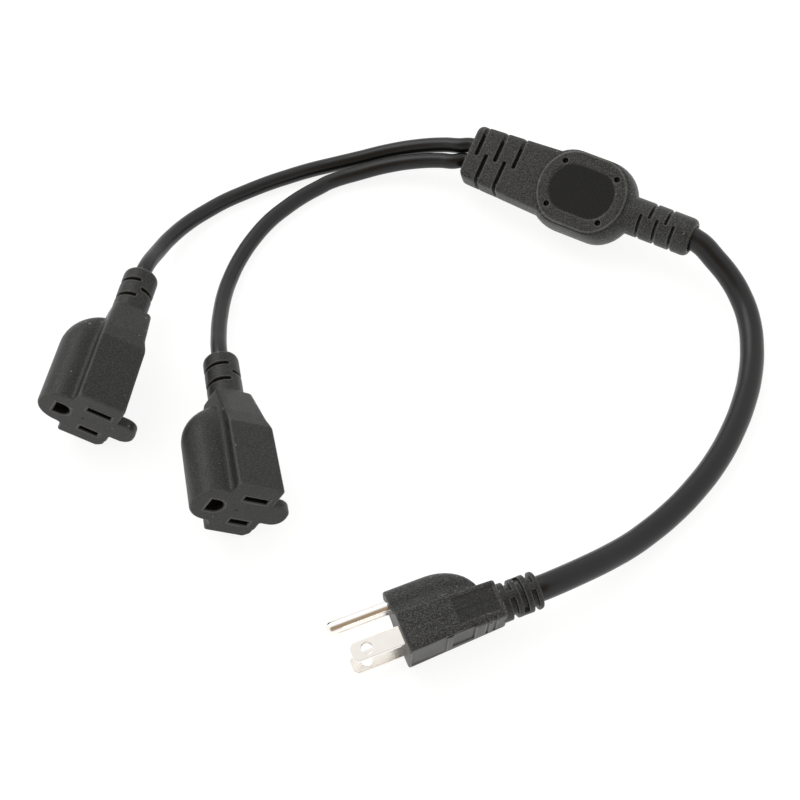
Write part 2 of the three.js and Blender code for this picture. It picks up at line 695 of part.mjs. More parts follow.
// The plug's cord fans out to the three splices. Each point is [x, y, z].
function mainWirePaths() {
  const { halfLength, fanStart, fanEnd, fanLead } = splice;
  const side = mainCord.ring * Math.sin(Math.PI / 3);
  const rise = mainCord.ring * Math.cos(Math.PI / 3);
  const start = { line: [-side, rise], neutral: [0, -mainCord.ring], ground: [side, rise] };
  return Object.fromEntries(POLES.map((pole) => {
    const [y, z] = start[pole];
    const end = splicePlaces()[pole];
    return [pole, [
      [junction.tubeEnd, y, z],
      [fanStart, y, z],
      [fanStart - fanLead, y, z],
      [fanEnd, end, 0],
      [halfLength, end, 0],
      [halfLength - WIRE_BITE, end, 0],
    ]];
  }));
}

// Each leg's conductors spread on a level of their own, so that they cross the other leg's freely.
function legWirePaths(side) {
  const { halfLength, level, fanStart, fanEnd, fanLead, legLead, fanSpread } = splice;
  const centre = junction.legSpread * side;
  const across = legCord.ring * Math.sin(Math.PI / 3);
  const rise = legCord.ring * Math.cos(Math.PI / 3) * side;
  const start = {
    line: [centre - across, rise],
    neutral: [centre, -legCord.ring * side],
    ground: [centre + across, rise],
  };
  const spread = { line: centre - fanSpread, neutral: centre, ground: centre + fanSpread };
  return Object.fromEntries(POLES.map((pole) => {
    const [y, z] = start[pole];
    const end = splicePlaces()[pole];
    return [pole, [
      [junction.neckStart, y, z],
      [junction.neckStart + legLead, y, z],
      [-fanStart - fanLead, spread[pole], level * side],
      [-fanStart, spread[pole], level * side],
      [-fanEnd, end, level * side],
      [-halfLength, end, level * side],
      [-halfLength + WIRE_BITE, end, level * side],
    ]];
  }));
}

function spliceCrimp(y) {
  const { halfLength, wall } = splice;
  const shell = rod(spliceRadius() + wall, [-halfLength, halfLength], 0, 0, COARSE);
  const bore = rod(spliceRadius(), [-halfLength - 1, halfLength + 1], 0, 0, COARSE);
  return alongX(shell.subtract(bore)).translate([0, y, 0]);
}

// The raised face: a shallow oval pad with four small round holes at its edge.
function faceCuts() {
  const { halfThickness, padHalfLength, padHalfWidth, padDepth } = junction;
  const { holeRadius, holeDepth, holeX, holeY } = junction;
  const [floor, above] = [halfThickness - padDepth, halfThickness + 1];
  const pad = prism(ovalShape(padHalfLength, padHalfWidth), [floor, above], 10);
  const span = [floor - holeDepth, above];
  const holes = [[1, 1], [1, -1], [-1, 1], [-1, -1]].map(([alongSide, acrossSide]) => rod(
    holeRadius, span, holeX * alongSide, holeY * acrossSide, 12,
  ));
  return joined([pad, ...holes]);
}

function junctionBody(mainPaths, legPaths) {
  const relief = cut(
    reliefBar(junctionRelief, [-junction.tubeEnd, 0]).rotate([180, 0, 0]),
    junctionGrooves.map(([place, turn]) => halfGroove(junctionRelief, place, turn)),
  );
  const solid = joined([
    junctionOval(),
    cut(junctionNeck(), combSlots.map(combSlot)),
    alongX(relief),
  ]);
  const room = alongX(rod(
    spliceRadius() + splice.wall + GAP, [-splice.halfLength - GAP, splice.halfLength + GAP], 0, 0, COARSE,
  ));
  return cut(solid, [
    faceCuts(),
    faceCuts().rotate([180, 0, 0]),
    ...Object.values(splicePlaces()).map((y) => room.translate([0, y, 0])),
    ...POLES.map((pole) => tube(mainPaths[pole], mainCord.wire + GAP, WIRE_SIDES, WIRE_STEPS)),
    ...legPaths.flatMap((paths) => (
      POLES.map((pole) => tube(paths[pole], legCord.wire + GAP, WIRE_SIDES, LEG_WIRE_STEPS))
    )),
    alongX(mouthRoom(mainCord, -junction.tubeEnd).rotate([180, 0, 0])),
    ...[1, -1].map((side) => (
      alongX(mouthRoom(legCord, junction.neckStart)).translate([0, side * junction.legSpread, 0])
    )),
  ]);
}

function buildJunction() {
  const mainPaths = mainWirePaths();
  const legs = { left: legWirePaths(1), right: legWirePaths(-1) };
  const group = new THREE.Group();
  group.add(piece("junction_body", junctionBody(mainPaths, Object.values(legs)), pvc));
  for (const pole of POLES) {
    group.add(piece(`${pole}_splice_crimp`, spliceCrimp(splicePlaces()[pole]), tinnedCopper));
    const main = tube(mainPaths[pole], mainCord.wire, WIRE_SIDES, WIRE_STEPS);
    group.add(piece(`junction_main_${pole}_wire`, main, insulation[pole]));
    for (const [side, paths] of Object.entries(legs)) {
      const wire = tube(paths[pole], legCord.wire, WIRE_SIDES, LEG_WIRE_STEPS);
      group.add(piece(`junction_${side}_leg_${pole}_wire`, wire, insulation[pole]));
    }
  }
  return group;
}

// Where each moulding lies on the table, and how it is turned, in degrees: yaw about the upright,
// pitch to lift its front, and roll about its own length.
const places = {
  leftSocket: { x: -97.3, y: -22.1, yaw: -11.1, pitch: 0.3, roll: 25.9 },
  rightSocket: { x: -43.4, y: -57.6, yaw: 10.3, pitch: 2.6, roll: 31.6 },
  plug: { x: 7.1, y: -102.6, yaw: -68.2, pitch: -2.6, roll: 9.7 },
  junction: { x: 75.3, y: 79.6, yaw: -29.3, pitch: 1.9, roll: 29 },
};

function radians(degrees) {
  return THREE.MathUtils.degToRad(degrees);
}

// Sets a turned moulding down so that its lowest point touches the table.
function restOnTable(group, { x, y }) {
  group.updateMatrixWorld(true);
  const bounds = new THREE.Box3().setFromObject(group, true);
  group.position.set(x, y, -bounds.min.z);
  group.updateMatrixWorld(true);
  return group;
}

function layConnector(group, place) {
  group.rotateZ(radians(place.yaw));
  group.rotateX(radians(90 - place.pitch));
  group.rotateZ(radians(-place.roll));
  return restOnTable(group, place);
}

function layJunction(group, place) {
  group.rotateZ(radians(place.yaw));
  group.rotateY(radians(-place.pitch));
  group.rotateX(radians(place.roll));
  return restOnTable(group, place);
}

const leftSocket = layConnector(buildSocket("left"), places.leftSocket);
const rightSocket = layConnector(buildSocket("right"), places.rightSocket);
const plugGroup = layConnector(buildPlug(), places.plug);
const junctionGroup = layJunction(buildJunction(), places.junction);

// The first two points of a cord: where it leaves a mouth, and a little way straight on from it.
function leaves(group, mouth, axis, straight) {
  return [GAP, straight].map((distance) => {
    const point = new THREE.Vector3(...mouth).addScaledVector(new THREE.Vector3(...axis), distance);
    return group.localToWorld(point).toArray();
  });
}

// The cords' routes between those ends, as they lie in the photograph.
const mainRoute = [
  [70, -74.1, 9.4], [75.4, -70.3, 7.9], [81.6, -65.7, 6.4], [87.9, -60.4, 5.3], [96.9, -52.1, 4.5],
  [106.3, -41.8, 4.35], [114.4, -30.8, 4.35], [121.2, -18.7, 4.35], [126.5, -6.3, 4.35],
  [129.7, 4.1, 4.4], [131.8, 16.8, 4.9], [131.7, 28.5, 6.2], [129.5, 37.4, 8], [125.8, 44.7, 10.4],
  [120.5, 51.3, 13.1],
];
const leftRoute = [
  [-81.8, 58.8, 9], [-78.5, 66.8, 6.4], [-72.5, 76.2, 4.1], [-66.2, 82.6, 3.2], [-60, 87.5, 3],
  [-52.1, 92.2, 3], [-44.5, 96.3, 3], [-35.9, 100.2, 3], [-28, 103.4, 3], [-20.5, 105.6, 3.3],
  [-9.5, 108, 4.5], [1.6, 109.8, 6.5], [12.7, 109.8, 9.2], [23.7, 108.3, 11.8], [29, 106.6, 13.2],
];
const rightRoute = [
  [-57.8, 19.6, 9.6], [-58, 29.6, 7.1], [-57.2, 41.5, 4.8], [-55.7, 49.5, 3.7], [-53, 58.5, 3.1],
  [-48.1, 69.1, 3], [-42.4, 77.9, 3], [-37, 83.9, 3], [-30.3, 90.1, 3], [-24.2, 94.5, 3.1],
  [-20.3, 97.1, 3.2], [-9.4, 100.7, 4.2], [1.7, 102.9, 6], [12.7, 103.1, 8.2], [21.8, 101.9, 10],
  [26.7, 100.7, 10.8],
];

function cordPiece(name, points, { radius }) {
  return piece(name, tube(points, radius, CORD_SIDES, CORD_STEPS), jacket);
}

const mainPoints = [
  ...leaves(plugGroup, [0, 0, -plug.length], [0, 0, -1], 3),
  ...mainRoute,
  ...leaves(junctionGroup, [junction.tubeEnd, 0, 0], [1, 0, 0], 3).reverse(),
];
const legPoints = (group, route, side) => [
  ...leaves(group, [socket.axis, 0, -socket.length], [0, 0, -1], 3),
  ...route,
  ...leaves(junctionGroup, [junction.neckStart, junction.legSpread * side, 0], [-1, 0, 0], 2).reverse(),
];

const splitter = new THREE.Group();
splitter.add(leftSocket, rightSocket, plugGroup, junctionGroup);
splitter.add(cordPiece("main_cord", mainPoints, mainCord));
splitter.add(cordPiece("left_leg_cord", legPoints(leftSocket, leftRoute, 1), legCord));
splitter.add(cordPiece("right_leg_cord", legPoints(rightSocket, rightRoute, -1), legCord));

export default splitter;
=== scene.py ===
"""Power cord splitter: one grounded plug, a moulded junction and two grounded sockets.

The frame is the CAD's, in metres, with +Z up and the table at z = 0. Each moulding is made in
millimetres in a frame of its own and then laid where the CAD has it.
"""

import math

import bmesh
import bpy
from mathutils import Matrix, Vector


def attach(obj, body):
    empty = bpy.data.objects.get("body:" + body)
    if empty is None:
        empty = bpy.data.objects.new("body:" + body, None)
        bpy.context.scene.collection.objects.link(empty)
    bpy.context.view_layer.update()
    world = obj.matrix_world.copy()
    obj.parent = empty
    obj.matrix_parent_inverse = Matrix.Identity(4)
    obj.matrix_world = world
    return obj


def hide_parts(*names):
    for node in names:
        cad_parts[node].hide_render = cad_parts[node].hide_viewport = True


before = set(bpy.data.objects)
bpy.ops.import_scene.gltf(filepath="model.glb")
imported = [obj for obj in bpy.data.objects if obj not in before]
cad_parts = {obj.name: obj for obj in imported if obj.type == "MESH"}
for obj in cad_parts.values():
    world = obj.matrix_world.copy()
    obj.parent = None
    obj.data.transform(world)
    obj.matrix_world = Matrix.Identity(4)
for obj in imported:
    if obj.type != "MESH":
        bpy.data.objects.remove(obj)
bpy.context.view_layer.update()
MM = 0.001

# Camera
# The photograph looks down at 55 degrees from the front, about 613 mm from the middle of the cords.
camera_data = bpy.data.cameras.new("camera")
camera_data.sensor_width = 36
camera_data.lens = 78.39
camera = bpy.data.objects.new("camera", camera_data)
camera.location = (0.0065, -0.3543, 0.5021)
table_point = Vector((0.0065, -0.0027, 0))
camera.rotation_euler = (table_point - camera.location).to_track_quat("-Z", "Y").to_euler()
bpy.context.scene.collection.objects.link(camera)
bpy.context.scene.camera = camera

# Cords
# Three round flexible cords with an extruded jacket of soft black PVC. A thick one runs from the
# plug to the junction, and two thinner legs run from there to the sockets. All of them lie loose.
CORD_DIAMETER = 8.5
LEG_DIAMETER = 5.8


def linear(hex_colour):
    """An sRGB hex colour as the linear colour that a shader's socket takes."""
    values = [int(hex_colour[i : i + 2], 16) / 255 for i in (0, 2, 4)]
    return (*[v / 12.92 if v <= 0.04045 else ((v + 0.055) / 1.055) ** 2.4 for v in values], 1)


def per(size):
    """The scale of a pattern on Object coordinates with features this many millimetres across."""
    return 1 / (size * MM)


def first_output(node):
    """The first of a node's outputs that its settings leave in use."""
    return next(output for output in node.outputs if output.enabled)


def add_node(tree, kind, inputs=None, **settings):
    """Adds a node with its settings. Each of its inputs gets a value, or a link from a socket or
    from a node's first output."""
    added = tree.nodes.new(kind)
    for name, value in settings.items():
        setattr(added, name, value)
    for key, value in (inputs or {}).items():
        if isinstance(value, bpy.types.Node):
            value = first_output(value)
        if isinstance(value, bpy.types.NodeSocket):
            tree.links.new(value, added.inputs[key])
        else:
            added.inputs[key].default_value = value
    return added


def new_finish(name, **shader_values):
    """A material with its shader's plain values set. Returns it with its tree and its shader."""
    material = bpy.data.materials.new(name)
    material.use_nodes = True
    tree = material.node_tree
    shader = tree.nodes["Principled BSDF"]
    for key, value in shader_values.items():
        shader.inputs[key.replace("_", " ")].default_value = value
    return material, tree, shader


def link_shader(tree, shader, **nodes):
    """Links nodes to a shader's inputs, which are named with underscores."""
    for key, node in nodes.items():
        tree.links.new(first_output(node), shader.inputs[key.replace("_", " ")])


def cord_jacket():
    """Soft PVC, extruded: smooth with a low gloss, faintly uneven where the cores press through."""
    material, tree, shader = new_finish("extruded soft PVC", IOR=1.52, Specular_IOR_Level=0.38)
    place = add_node(tree, "ShaderNodeTexCoord").outputs["Object"]
    cloud, haze, swell = [
        add_node(
            tree, "ShaderNodeTexNoise", {"Vector": place, "Scale": per(size), "Detail": detail}
        )
        for size, detail in ((14, 3.0), (0.8, 4.0), (7, 1.0))
    ]
    tint = add_node(
        tree, "ShaderNodeMix", {0: cloud, 6: linear("0a0a0b"), 7: linear("141414")},
        data_type="RGBA",
    )
    gloss = add_node(tree, "ShaderNodeMapRange", {"Value": haze, "To Min": 0.24, "To Max": 0.38})
    # The swell is 0.1 mm high, and the haze on it a fiftieth of a millimetre.
    waves = add_node(
        tree, "ShaderNodeBump", {"Height": swell, "Strength": 0.5, "Distance": 0.1 * MM}
    )
    skin = add_node(
        tree, "ShaderNodeBump",
        {"Height": haze, "Strength": 0.35, "Distance": 0.02 * MM, "Normal": waves},
    )
    link_shader(tree, shader, Base_Color=tint, Roughness=gloss, Normal=skin)
    return material


jacket = cord_jacket()


def show(name, data):
    """Adds an object to the scene."""
    shown = bpy.data.objects.new(name, data)
    bpy.context.scene.collection.objects.link(shown)
    return shown


def add_piece(name, data, nodes=()):
    """Adds a finished piece in place of these CAD nodes."""
    piece = show(name, data)
    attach(piece, "root")
    if nodes:
        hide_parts(*nodes)
    return piece


def lay_cord(name, diameter, route, node):
    """A round cord along its route, whose points are in millimetres, with both ends run into the
    mouldings, as the moulded-on ends of a real cord are."""
    points = [Vector(point) for point in route]
    lead = 2.6
    points.insert(0, points[0] + (points[0] - points[1]).normalized() * lead)
    points.append(points[-1] + (points[-1] - points[-2]).normalized() * lead)
    curve = bpy.data.curves.new(name, "CURVE")
    curve.dimensions = "3D"
    curve.bevel_depth = diameter / 2 * MM
    curve.bevel_resolution = 8
    curve.resolution_u = 10
    curve.use_fill_caps = True
    spline = curve.splines.new("BEZIER")
    spline.bezier_points.add(len(points) - 1)
    for knot, point in zip(spline.bezier_points, points):
        knot.co = point * MM
        knot.handle_left_type = knot.handle_right_type = "AUTO"
    curve.materials.append(jacket)
    return add_piece(name, curve, [node])


# Each route starts at the junction and ends in the plug or a socket.
MAIN_ROUTE = [
    (113.65, 58.08, 15.49), (116.6, 55.7, 14.9), (120.5, 51.3, 13.1), (125.8, 44.7, 10.4),
    (129.5, 37.4, 8), (131.7, 28.5, 6.2), (131.8, 16.8, 4.9), (129.7, 4.1, 4.4),
    (126.5, -6.3, 4.35), (121.2, -18.7, 4.35), (114.4, -30.8, 4.35), (106.3, -41.8, 4.35),
    (96.9, -52.1, 4.5), (87.9, -60.4, 5.3), (81.6, -65.7, 6.4), (75.4, -70.3, 7.9),
    (70, -74.1, 9.4), (53.11, -84.2, 12.85), (50.6, -85.2, 12.73),
]
LEFT_ROUTE = [
    (35.38, 105.16, 13.99), (33.9, 105.99, 13.93), (29, 106.6, 13.2), (23.7, 108.3, 11.8),
    (12.7, 109.8, 9.2), (1.6, 109.8, 6.5), (-9.5, 108, 4.5), (-20.5, 105.6, 3.3),
    (-28, 103.4, 3), (-35.9, 100.2, 3), (-44.5, 96.3, 3), (-52.1, 92.2, 3), (-60, 87.5, 3),
    (-66.2, 82.6, 3.2), (-72.5, 76.2, 4.1), (-78.5, 66.8, 6.4), (-81.8, 58.8, 9),
    (-85.63, 44.4, 14.63), (-86.15, 41.75, 14.64),
]
RIGHT_ROUTE = [
    (32.77, 100.31, 10.94), (31.29, 101.14, 10.88), (26.7, 100.7, 10.8), (21.8, 101.9, 10),
    (12.7, 103.1, 8.2), (1.7, 102.9, 6), (-9.4, 100.7, 4.2), (-20.3, 97.1, 3.2),
    (-24.2, 94.5, 3.1), (-30.3, 90.1, 3), (-37, 83.9, 3), (-42.4, 77.9, 3),
    (-48.1, 69.1, 3), (-53, 58.5, 3.1), (-55.7, 49.5, 3.7), (-57.2, 41.5, 4.8),
    (-58, 29.6, 7.1), (-57.8, 19.6, 9.6), (-56.72, 8.55, 12.46), (-56.24, 5.9, 12.59),
]
main_cord = lay_cord("main_cord_jacket", CORD_DIAMETER, MAIN_ROUTE, "main_cord")
left_leg = lay_cord("left_leg_jacket", LEG_DIAMETER, LEFT_ROUTE, "left_leg_cord")
right_leg = lay_cord("right_leg_jacket", LEG_DIAMETER, RIGHT_ROUTE, "right_leg_cord")

# Plug
# A body of black PVC moulded over the prongs and the cord, with a matt spark-eroded top, a lobe over
# the ground pin, shallow grip panels on its side and a ringed strain relief behind.
BLADE_OFFSET = 6.35
GROUND_OFFSET = 11.9
plug = {
    "left": -7, "right": 6.8, "half": 9.8, "body_end": 33.5,
    "rear_left": -6.5, "rear_right": 6, "rear_half": 6.8,
    "lobe_radius": 5.1, "lobe_fillet": 2.2, "lobe_length": 14, "lobe_dome": 14.8,
    "length": 46.6, "relief_radius": 6.3,
    "panel_depth": 0.4, "field_depth": 0.35, "field_front": 18, "field_rear": 32,
    "field_left": -4.9, "field_right": 3.7,
}


def moulded_pvc():
    """Black PVC from a spark-eroded steel mould: a fine satin grain, edges painted a little paler,
    partly as wear and partly as painted highlight, and a few pale specks of dust. The grain
    attribute says how coarse the mould was at each place; a second how much darker a seam or a
    painted shadow line is; a third how pale an edge is painted, as wear and as highlight."""
    material, tree, shader = new_finish(
        "spark-grained moulded PVC", IOR=1.53, Specular_IOR_Level=0.28
    )
    place = add_node(tree, "ShaderNodeTexCoord").outputs["Object"]
    coarse, seam_and_shade, crest = [
        add_node(tree, "ShaderNodeAttribute", attribute_name=mark).outputs["Fac"]
        for mark in ("grain", "seam_and_shadow_tone", "wear_and_highlight")
    ]
    # Real spark grain is about 0.1 mm. It is drawn at 0.4 mm, the least that the camera can show.
    cloud, grit, edge_patches = [
        add_node(
            tree, "ShaderNodeTexNoise",
            {"Vector": place, "Scale": per(size), "Detail": detail, "Roughness": rough},
        )
        for size, detail, rough in ((9, 4.0, 0.5), (0.42, 2.0, 0.7), (5, 3.0, 0.5))
    ]
    grit_tone = add_node(
        tree, "ShaderNodeMapRange", {"Value": grit, "From Min": 0.42, "From Max": 0.72}
    )
    grit_share = add_node(tree, "ShaderNodeMath", {0: grit_tone, 1: coarse}, operation="MULTIPLY")
    # Edges are painted paler in patches a few millimetres long, partly as wear from handling and
    # partly as painted highlight.
    edge = add_node(tree, "ShaderNodeNewGeometry").outputs["Pointiness"]
    edge_share = add_node(
        tree, "ShaderNodeMapRange",
        {"Value": edge, "From Min": 0.51, "From Max": 0.56, "To Max": 0.75},
    )
    edges = add_node(
        tree, "ShaderNodeMath", {0: edge_share, 1: crest}, operation="ADD", use_clamp=True
    )
    worn_and_highlit = add_node(tree, "ShaderNodeMath", {0: edges, 1: edge_patches}, operation="MULTIPLY")
    # Dust: one cell in eight holds a speck about 0.4 mm across.
    dust = add_node(tree, "ShaderNodeTexVoronoi", {"Vector": place, "Scale": per(2.6)})
    small = add_node(tree, "ShaderNodeMath", {0: dust, 1: 0.075}, operation="LESS_THAN")
    cell = add_node(tree, "ShaderNodeSeparateColor", {0: dust.outputs["Color"]})
    chosen = add_node(tree, "ShaderNodeMath", {0: cell, 1: 0.87}, operation="GREATER_THAN")
    speck = add_node(tree, "ShaderNodeMath", {0: small, 1: chosen}, operation="MULTIPLY")
    # Each layer lies over the one before: clouds, grain, edges worn and painted as highlight, dust,
    # and seams with painted shadow lines.
    tint = linear("0e0e0e")
    for share, colour in (
        (cloud, "181817"), (grit_share, "5e5f5d"), (worn_and_highlit, "8a8983"), (speck, "8f8f8a"),
        (seam_and_shade, "060606"),
    ):
        tint = add_node(
            tree, "ShaderNodeMix", {0: share, 6: tint, 7: linear(colour)}, data_type="RGBA"
        )
    satin = add_node(tree, "ShaderNodeMapRange", {"Value": cloud, "To Min": 0.34, "To Max": 0.5})
    depth = add_node(tree, "ShaderNodeMath", {0: coarse, 1: 0.08 * MM}, operation="MULTIPLY")
    relief = add_node(
        tree, "ShaderNodeBump", {"Height": grit, "Strength": 0.8, "Distance": depth}
    )
    link_shader(tree, shader, Base_Color=tint, Roughness=satin, Normal=relief)
    return material


pvc = moulded_pvc()


def rounded_ring(z, x_span, y_span, radii, inset=0.0, steps=5):
    """A rectangle with rounded corners at one height. The radii start at low x and low y and go
    round against the clock."""
    (x0, x1), (y0, y1) = x_span, y_span
    x0, x1, y0, y1 = x0 + inset, x1 - inset, y0 + inset, y1 - inset
    corners = [(x0, y0, 180), (x1, y0, 270), (x1, y1, 0), (x0, y1, 90)]
    ring = []
    for (x, y, start), radius in zip(corners, radii):
        r = max(radius - inset, 0.15)
        cx = x + r if x == x0 else x - r
        cy = y + r if y == y0 else y - r
        for i in range(steps + 1):
            angle = math.radians(start + 90 * i / steps)
            ring.append((cx + r * math.cos(angle), cy + r * math.sin(angle), z))
    return ring


def join_rows(skins, rows):
    """Joins rows of vertices, each of them closed, with walls."""
    for low, high in zip(rows, rows[1:]):
        for i in range(len(low)):
            j = (i + 1) % len(low)
            skins.faces.new((low[i], low[j], high[j], high[i]))


def loft(skins, rings):
    """Adds one closed skin through rings of points, from low to high, with flat ends."""
    rows = [[skins.verts.new(point) for point in ring] for ring in rings]
    join_rows(skins, rows)
    skins.faces.new(rows[0][::-1])
    skins.faces.new(rows[-1])


def prism(skins, outline, levels):
    """Adds a straight form along Z with this outline."""
    loft(skins, [[(x, y, z) for x, y in outline] for z in levels])


def round_points(radius, sides, centre=(0, 0)):
    """Points round a circle, against the clock."""
    turns = [2 * math.pi * i / sides for i in range(sides)]
    return [
        (centre[0] + radius * math.cos(turn), centre[1] + radius * math.sin(turn))
        for turn in turns
    ]


def disc_stack(skins, profile, centre=(0, 0), sides=48):
    """Adds a round form along Z from pairs of radius and height."""
    loft(
        skins,
        [[(x, y, z) for x, y in round_points(radius, sides, centre)] for radius, z in profile],
    )


def block(skins, x_span, y_span, z_span):
    """Adds a plain block, as a cutter has."""
    (x0, x1), (y0, y1) = x_span, y_span
    prism(skins, [(x0, y0), (x1, y0), (x1, y1), (x0, y1)], z_span)


def lobe_rings(sizes, inner):
    """The hump over the ground pole, which runs into the body by two hollow fillets and ends in a
    dome that runs down to the body."""
    radius, fillet, left = sizes["lobe_radius"], sizes["lobe_fillet"], sizes["left"]
    side = []
    for i in range(7):
        t = i / 6
        x = (1 - t) ** 2 * left + 2 * t * (1 - t) * left - t * t * GROUND_OFFSET
        y = (1 - t) ** 2 * (radius + fillet) + 2 * t * (1 - t) * radius + t * t * radius
        side.append((x, y))
    turns = [math.radians(90 + 9 * i) for i in range(1, 20)]
    arc = [(radius * math.cos(turn) - GROUND_OFFSET, radius * math.sin(turn)) for turn in turns]
    outline = [(inner, radius + fillet), *side, *arc, *[(x, -y) for x, y in side[::-1]]]
    outline.append((inner, -radius - fillet))
    rings = []
    for degrees in (88, 80, 72, 63, 54, 45, 36, 27, 18, 9, 0):
        angle = math.radians(degrees)
        rise = math.cos(angle)
        z = -sizes["lobe_length"] - sizes["lobe_dome"] * math.sin(angle)
        narrow = 0.45 + 0.55 * rise
        rings.append([(inner + (x - inner) * rise, y * narrow, z) for x, y in outline])
    for depth, inset in ((0.5, 0), (0.12, 0.15), (0, 0.4)):
        share = 1 - inset / 9
        rings.append([(inner + (x - inner) * share, y * share, -depth) for x, y in outline])
    return rings


def new_tree(name, sockets):
    """A geometry nodes tree with named inputs and its finish. Returns it with its inputs."""
    tree = bpy.data.node_groups.new(name, "GeometryNodeTree")
    tree.interface.new_socket("Geometry", in_out="OUTPUT", socket_type="NodeSocketGeometry")
    kinds = {"Count": "Int", "Halves": "Int", "Finish": "Material"}
    for label in (*sockets, "Finish"):
        kind = kinds.get(label, "Float")
        tree.interface.new_socket(label, in_out="INPUT", socket_type=f"NodeSocket{kind}")
    return tree, tree.nodes.new("NodeGroupInput").outputs


def spread(tree, piece, count, spot, spin=(0, 0, 0)):
    """Copies a piece to so many places and makes the copies real."""
    line = add_node(tree, "GeometryNodeMeshLine", {"Count": count})
    places = add_node(tree, "GeometryNodeSetPosition", {"Geometry": line, "Position": spot})
    copies = add_node(
        tree, "GeometryNodeInstanceOnPoints",
        {"Points": places, "Instance": piece, "Rotation": spin},
    )
    return add_node(tree, "GeometryNodeRealizeInstances", {"Geometry": copies})


def close_tree(tree, geometry, finish):
    """Gives the geometry its finish and hands it out of the tree."""
    finished = add_node(
        tree, "GeometryNodeSetMaterial", {"Geometry": geometry, "Material": finish}
    )
    add_node(tree, "NodeGroupOutput", {0: finished})
    return tree


def slot_tree():
    """Geometry nodes for the slots of a strain relief: half rings at an even pitch, each turned on
    from the last."""
    tree, given = new_tree(
        "relief slots",
        ("Count", "Halves", "Pitch", "Turn", "Floor", "Outside", "Width", "Sweep"),
    )
    walls = {0: given["Outside"], 1: given["Floor"]}
    across = add_node(tree, "ShaderNodeMath", walls, operation="SUBTRACT")
    middle = add_node(tree, "ShaderNodeMath", walls, operation="ADD")
    index = add_node(tree, "GeometryNodeInputIndex")
    share = add_node(tree, "ShaderNodeMath", {0: index, 1: given["Halves"]}, operation="DIVIDE")
    step = add_node(tree, "ShaderNodeMath", {0: share}, operation="FLOOR")
    half = add_node(tree, "ShaderNodeMath", {0: index, 1: given["Halves"]}, operation="MODULO")
    radius, start, total, along, turned, flipped = [
        add_node(tree, "ShaderNodeMath", {0: one, 1: other}, operation="MULTIPLY")
        for one, other in (
            (middle, 0.5), (given["Sweep"], -0.5), (given["Count"], given["Halves"]),
            (step, given["Pitch"]), (step, given["Turn"]), (half, math.pi),
        )
    ]
    arc = add_node(
        tree, "GeometryNodeCurveArc",
        {"Resolution": 40, "Radius": radius, "Start Angle": start, "Sweep Angle": given["Sweep"]},
    )
    section = add_node(
        tree, "GeometryNodeCurvePrimitiveQuadrilateral",
        {"Width": across, "Height": given["Width"]},
    )
    half_ring = add_node(
        tree, "GeometryNodeCurveToMesh",
        {"Curve": arc, "Profile Curve": section, "Fill Caps": True},
    )
    angle = add_node(tree, "ShaderNodeMath", {0: turned, 1: flipped}, operation="ADD")
    spot = add_node(tree, "ShaderNodeCombineXYZ", {"Z": along})
    spin = add_node(tree, "ShaderNodeCombineXYZ", {"Z": angle})
    return close_tree(tree, spread(tree, half_ring, total, spot, spin), given["Finish"])


relief_slots = slot_tree()


def baked(source):
    """The plain mesh that an object has under its modifiers. The object goes."""
    view = bpy.context.evaluated_depsgraph_get()
    mesh = bpy.data.meshes.new_from_object(source.evaluated_get(view))
    bpy.data.objects.remove(source)
    return mesh


def grown(tree, values):
    """The plain mesh that a geometry nodes tree makes from these inputs."""
    carrier = show("growing", bpy.data.meshes.new("growing"))
    modifier = carrier.modifiers.new("nodes", "NODES")
    modifier.node_group = tree
    for item in tree.interface.items_tree:
        if item.in_out == "INPUT" and item.name in values:
            modifier[item.identifier] = values[item.name]
    return baked(carrier)


def slots_mesh(first, turn, **values):
    """The cutters of one strain relief along Z. The first lies at this height, turned by so many
    degrees from +X."""
    mesh = grown(relief_slots, {"Finish": pvc, **values})
    mesh.transform(Matrix.Translation((0, 0, first)) @ Matrix.Rotation(math.radians(turn), 4, "Z"))
    return mesh


def closed_mesh(skins):
    """Closed skins as one mesh, with their faces outward."""
    bmesh.ops.recalc_face_normals(skins, faces=skins.faces)
    mesh = bpy.data.meshes.new("skins")
    skins.to_mesh(mesh)
    skins.free()
    return mesh


def settle(mesh, place, *finishes):
    """Lays a mesh in its place, in metres, with these finishes."""
    mesh.transform(place @ Matrix.Scale(MM, 4))
    mesh.materials.clear()
    for finish in finishes:
        mesh.materials.append(finish)


def moulded(name, skins, cutters, voxel, place, marks, node):
    """Cuts a moulding's skins, melts them into one with the soft edges of a real moulding, marks
    where its mould was coarse, its seams and painted shade, and its worn and highlit edges, and
    lays it in its place for this CAD node."""
    base = show(name, closed_mesh(skins))
    tools = [show("cutter", mesh) for mesh in cutters]
    for tool in tools:
        carve = base.modifiers.new("carve", "BOOLEAN")
        carve.operation = "DIFFERENCE"
        carve.solver = "EXACT"
        carve.use_self = True
        carve.object = tool
    melt = base.modifiers.new("melt", "REMESH")
    melt.mode = "VOXEL"
    melt.voxel_size = voxel
    melt.use_smooth_shade = True
    soften = base.modifiers.new("soften", "SMOOTH")
    soften.factor = 0.5
    soften.iterations = 3
    mesh = baked(base)
    for tool in tools:
        bpy.data.objects.remove(tool)
    for mark, rule in marks.items():
        values = [rule(vertex.co, vertex.normal) for vertex in mesh.vertices]
        mesh.attributes.new(mark, "FLOAT", "POINT").data.foreach_set("value", values)
    settle(mesh, place, pvc)
    add_piece(name, mesh, [node])


def connector_place(x, y, z, yaw, pitch, roll):
    """Where a plug or socket lies, in metres and degrees: its own +Z is its face's way out."""
    turn = (
        Matrix.Rotation(math.radians(yaw), 4, "Z")
        @ Matrix.Rotation(math.radians(90 - pitch), 4, "X")
        @ Matrix.Rotation(math.radians(-roll), 4, "Z")
    )
    return Matrix.Translation(Vector((x, y, z)) * MM) @ turn


plug_place = connector_place(7.1, -102.6, 10.6045, -68.2, -2.6, 9.7)


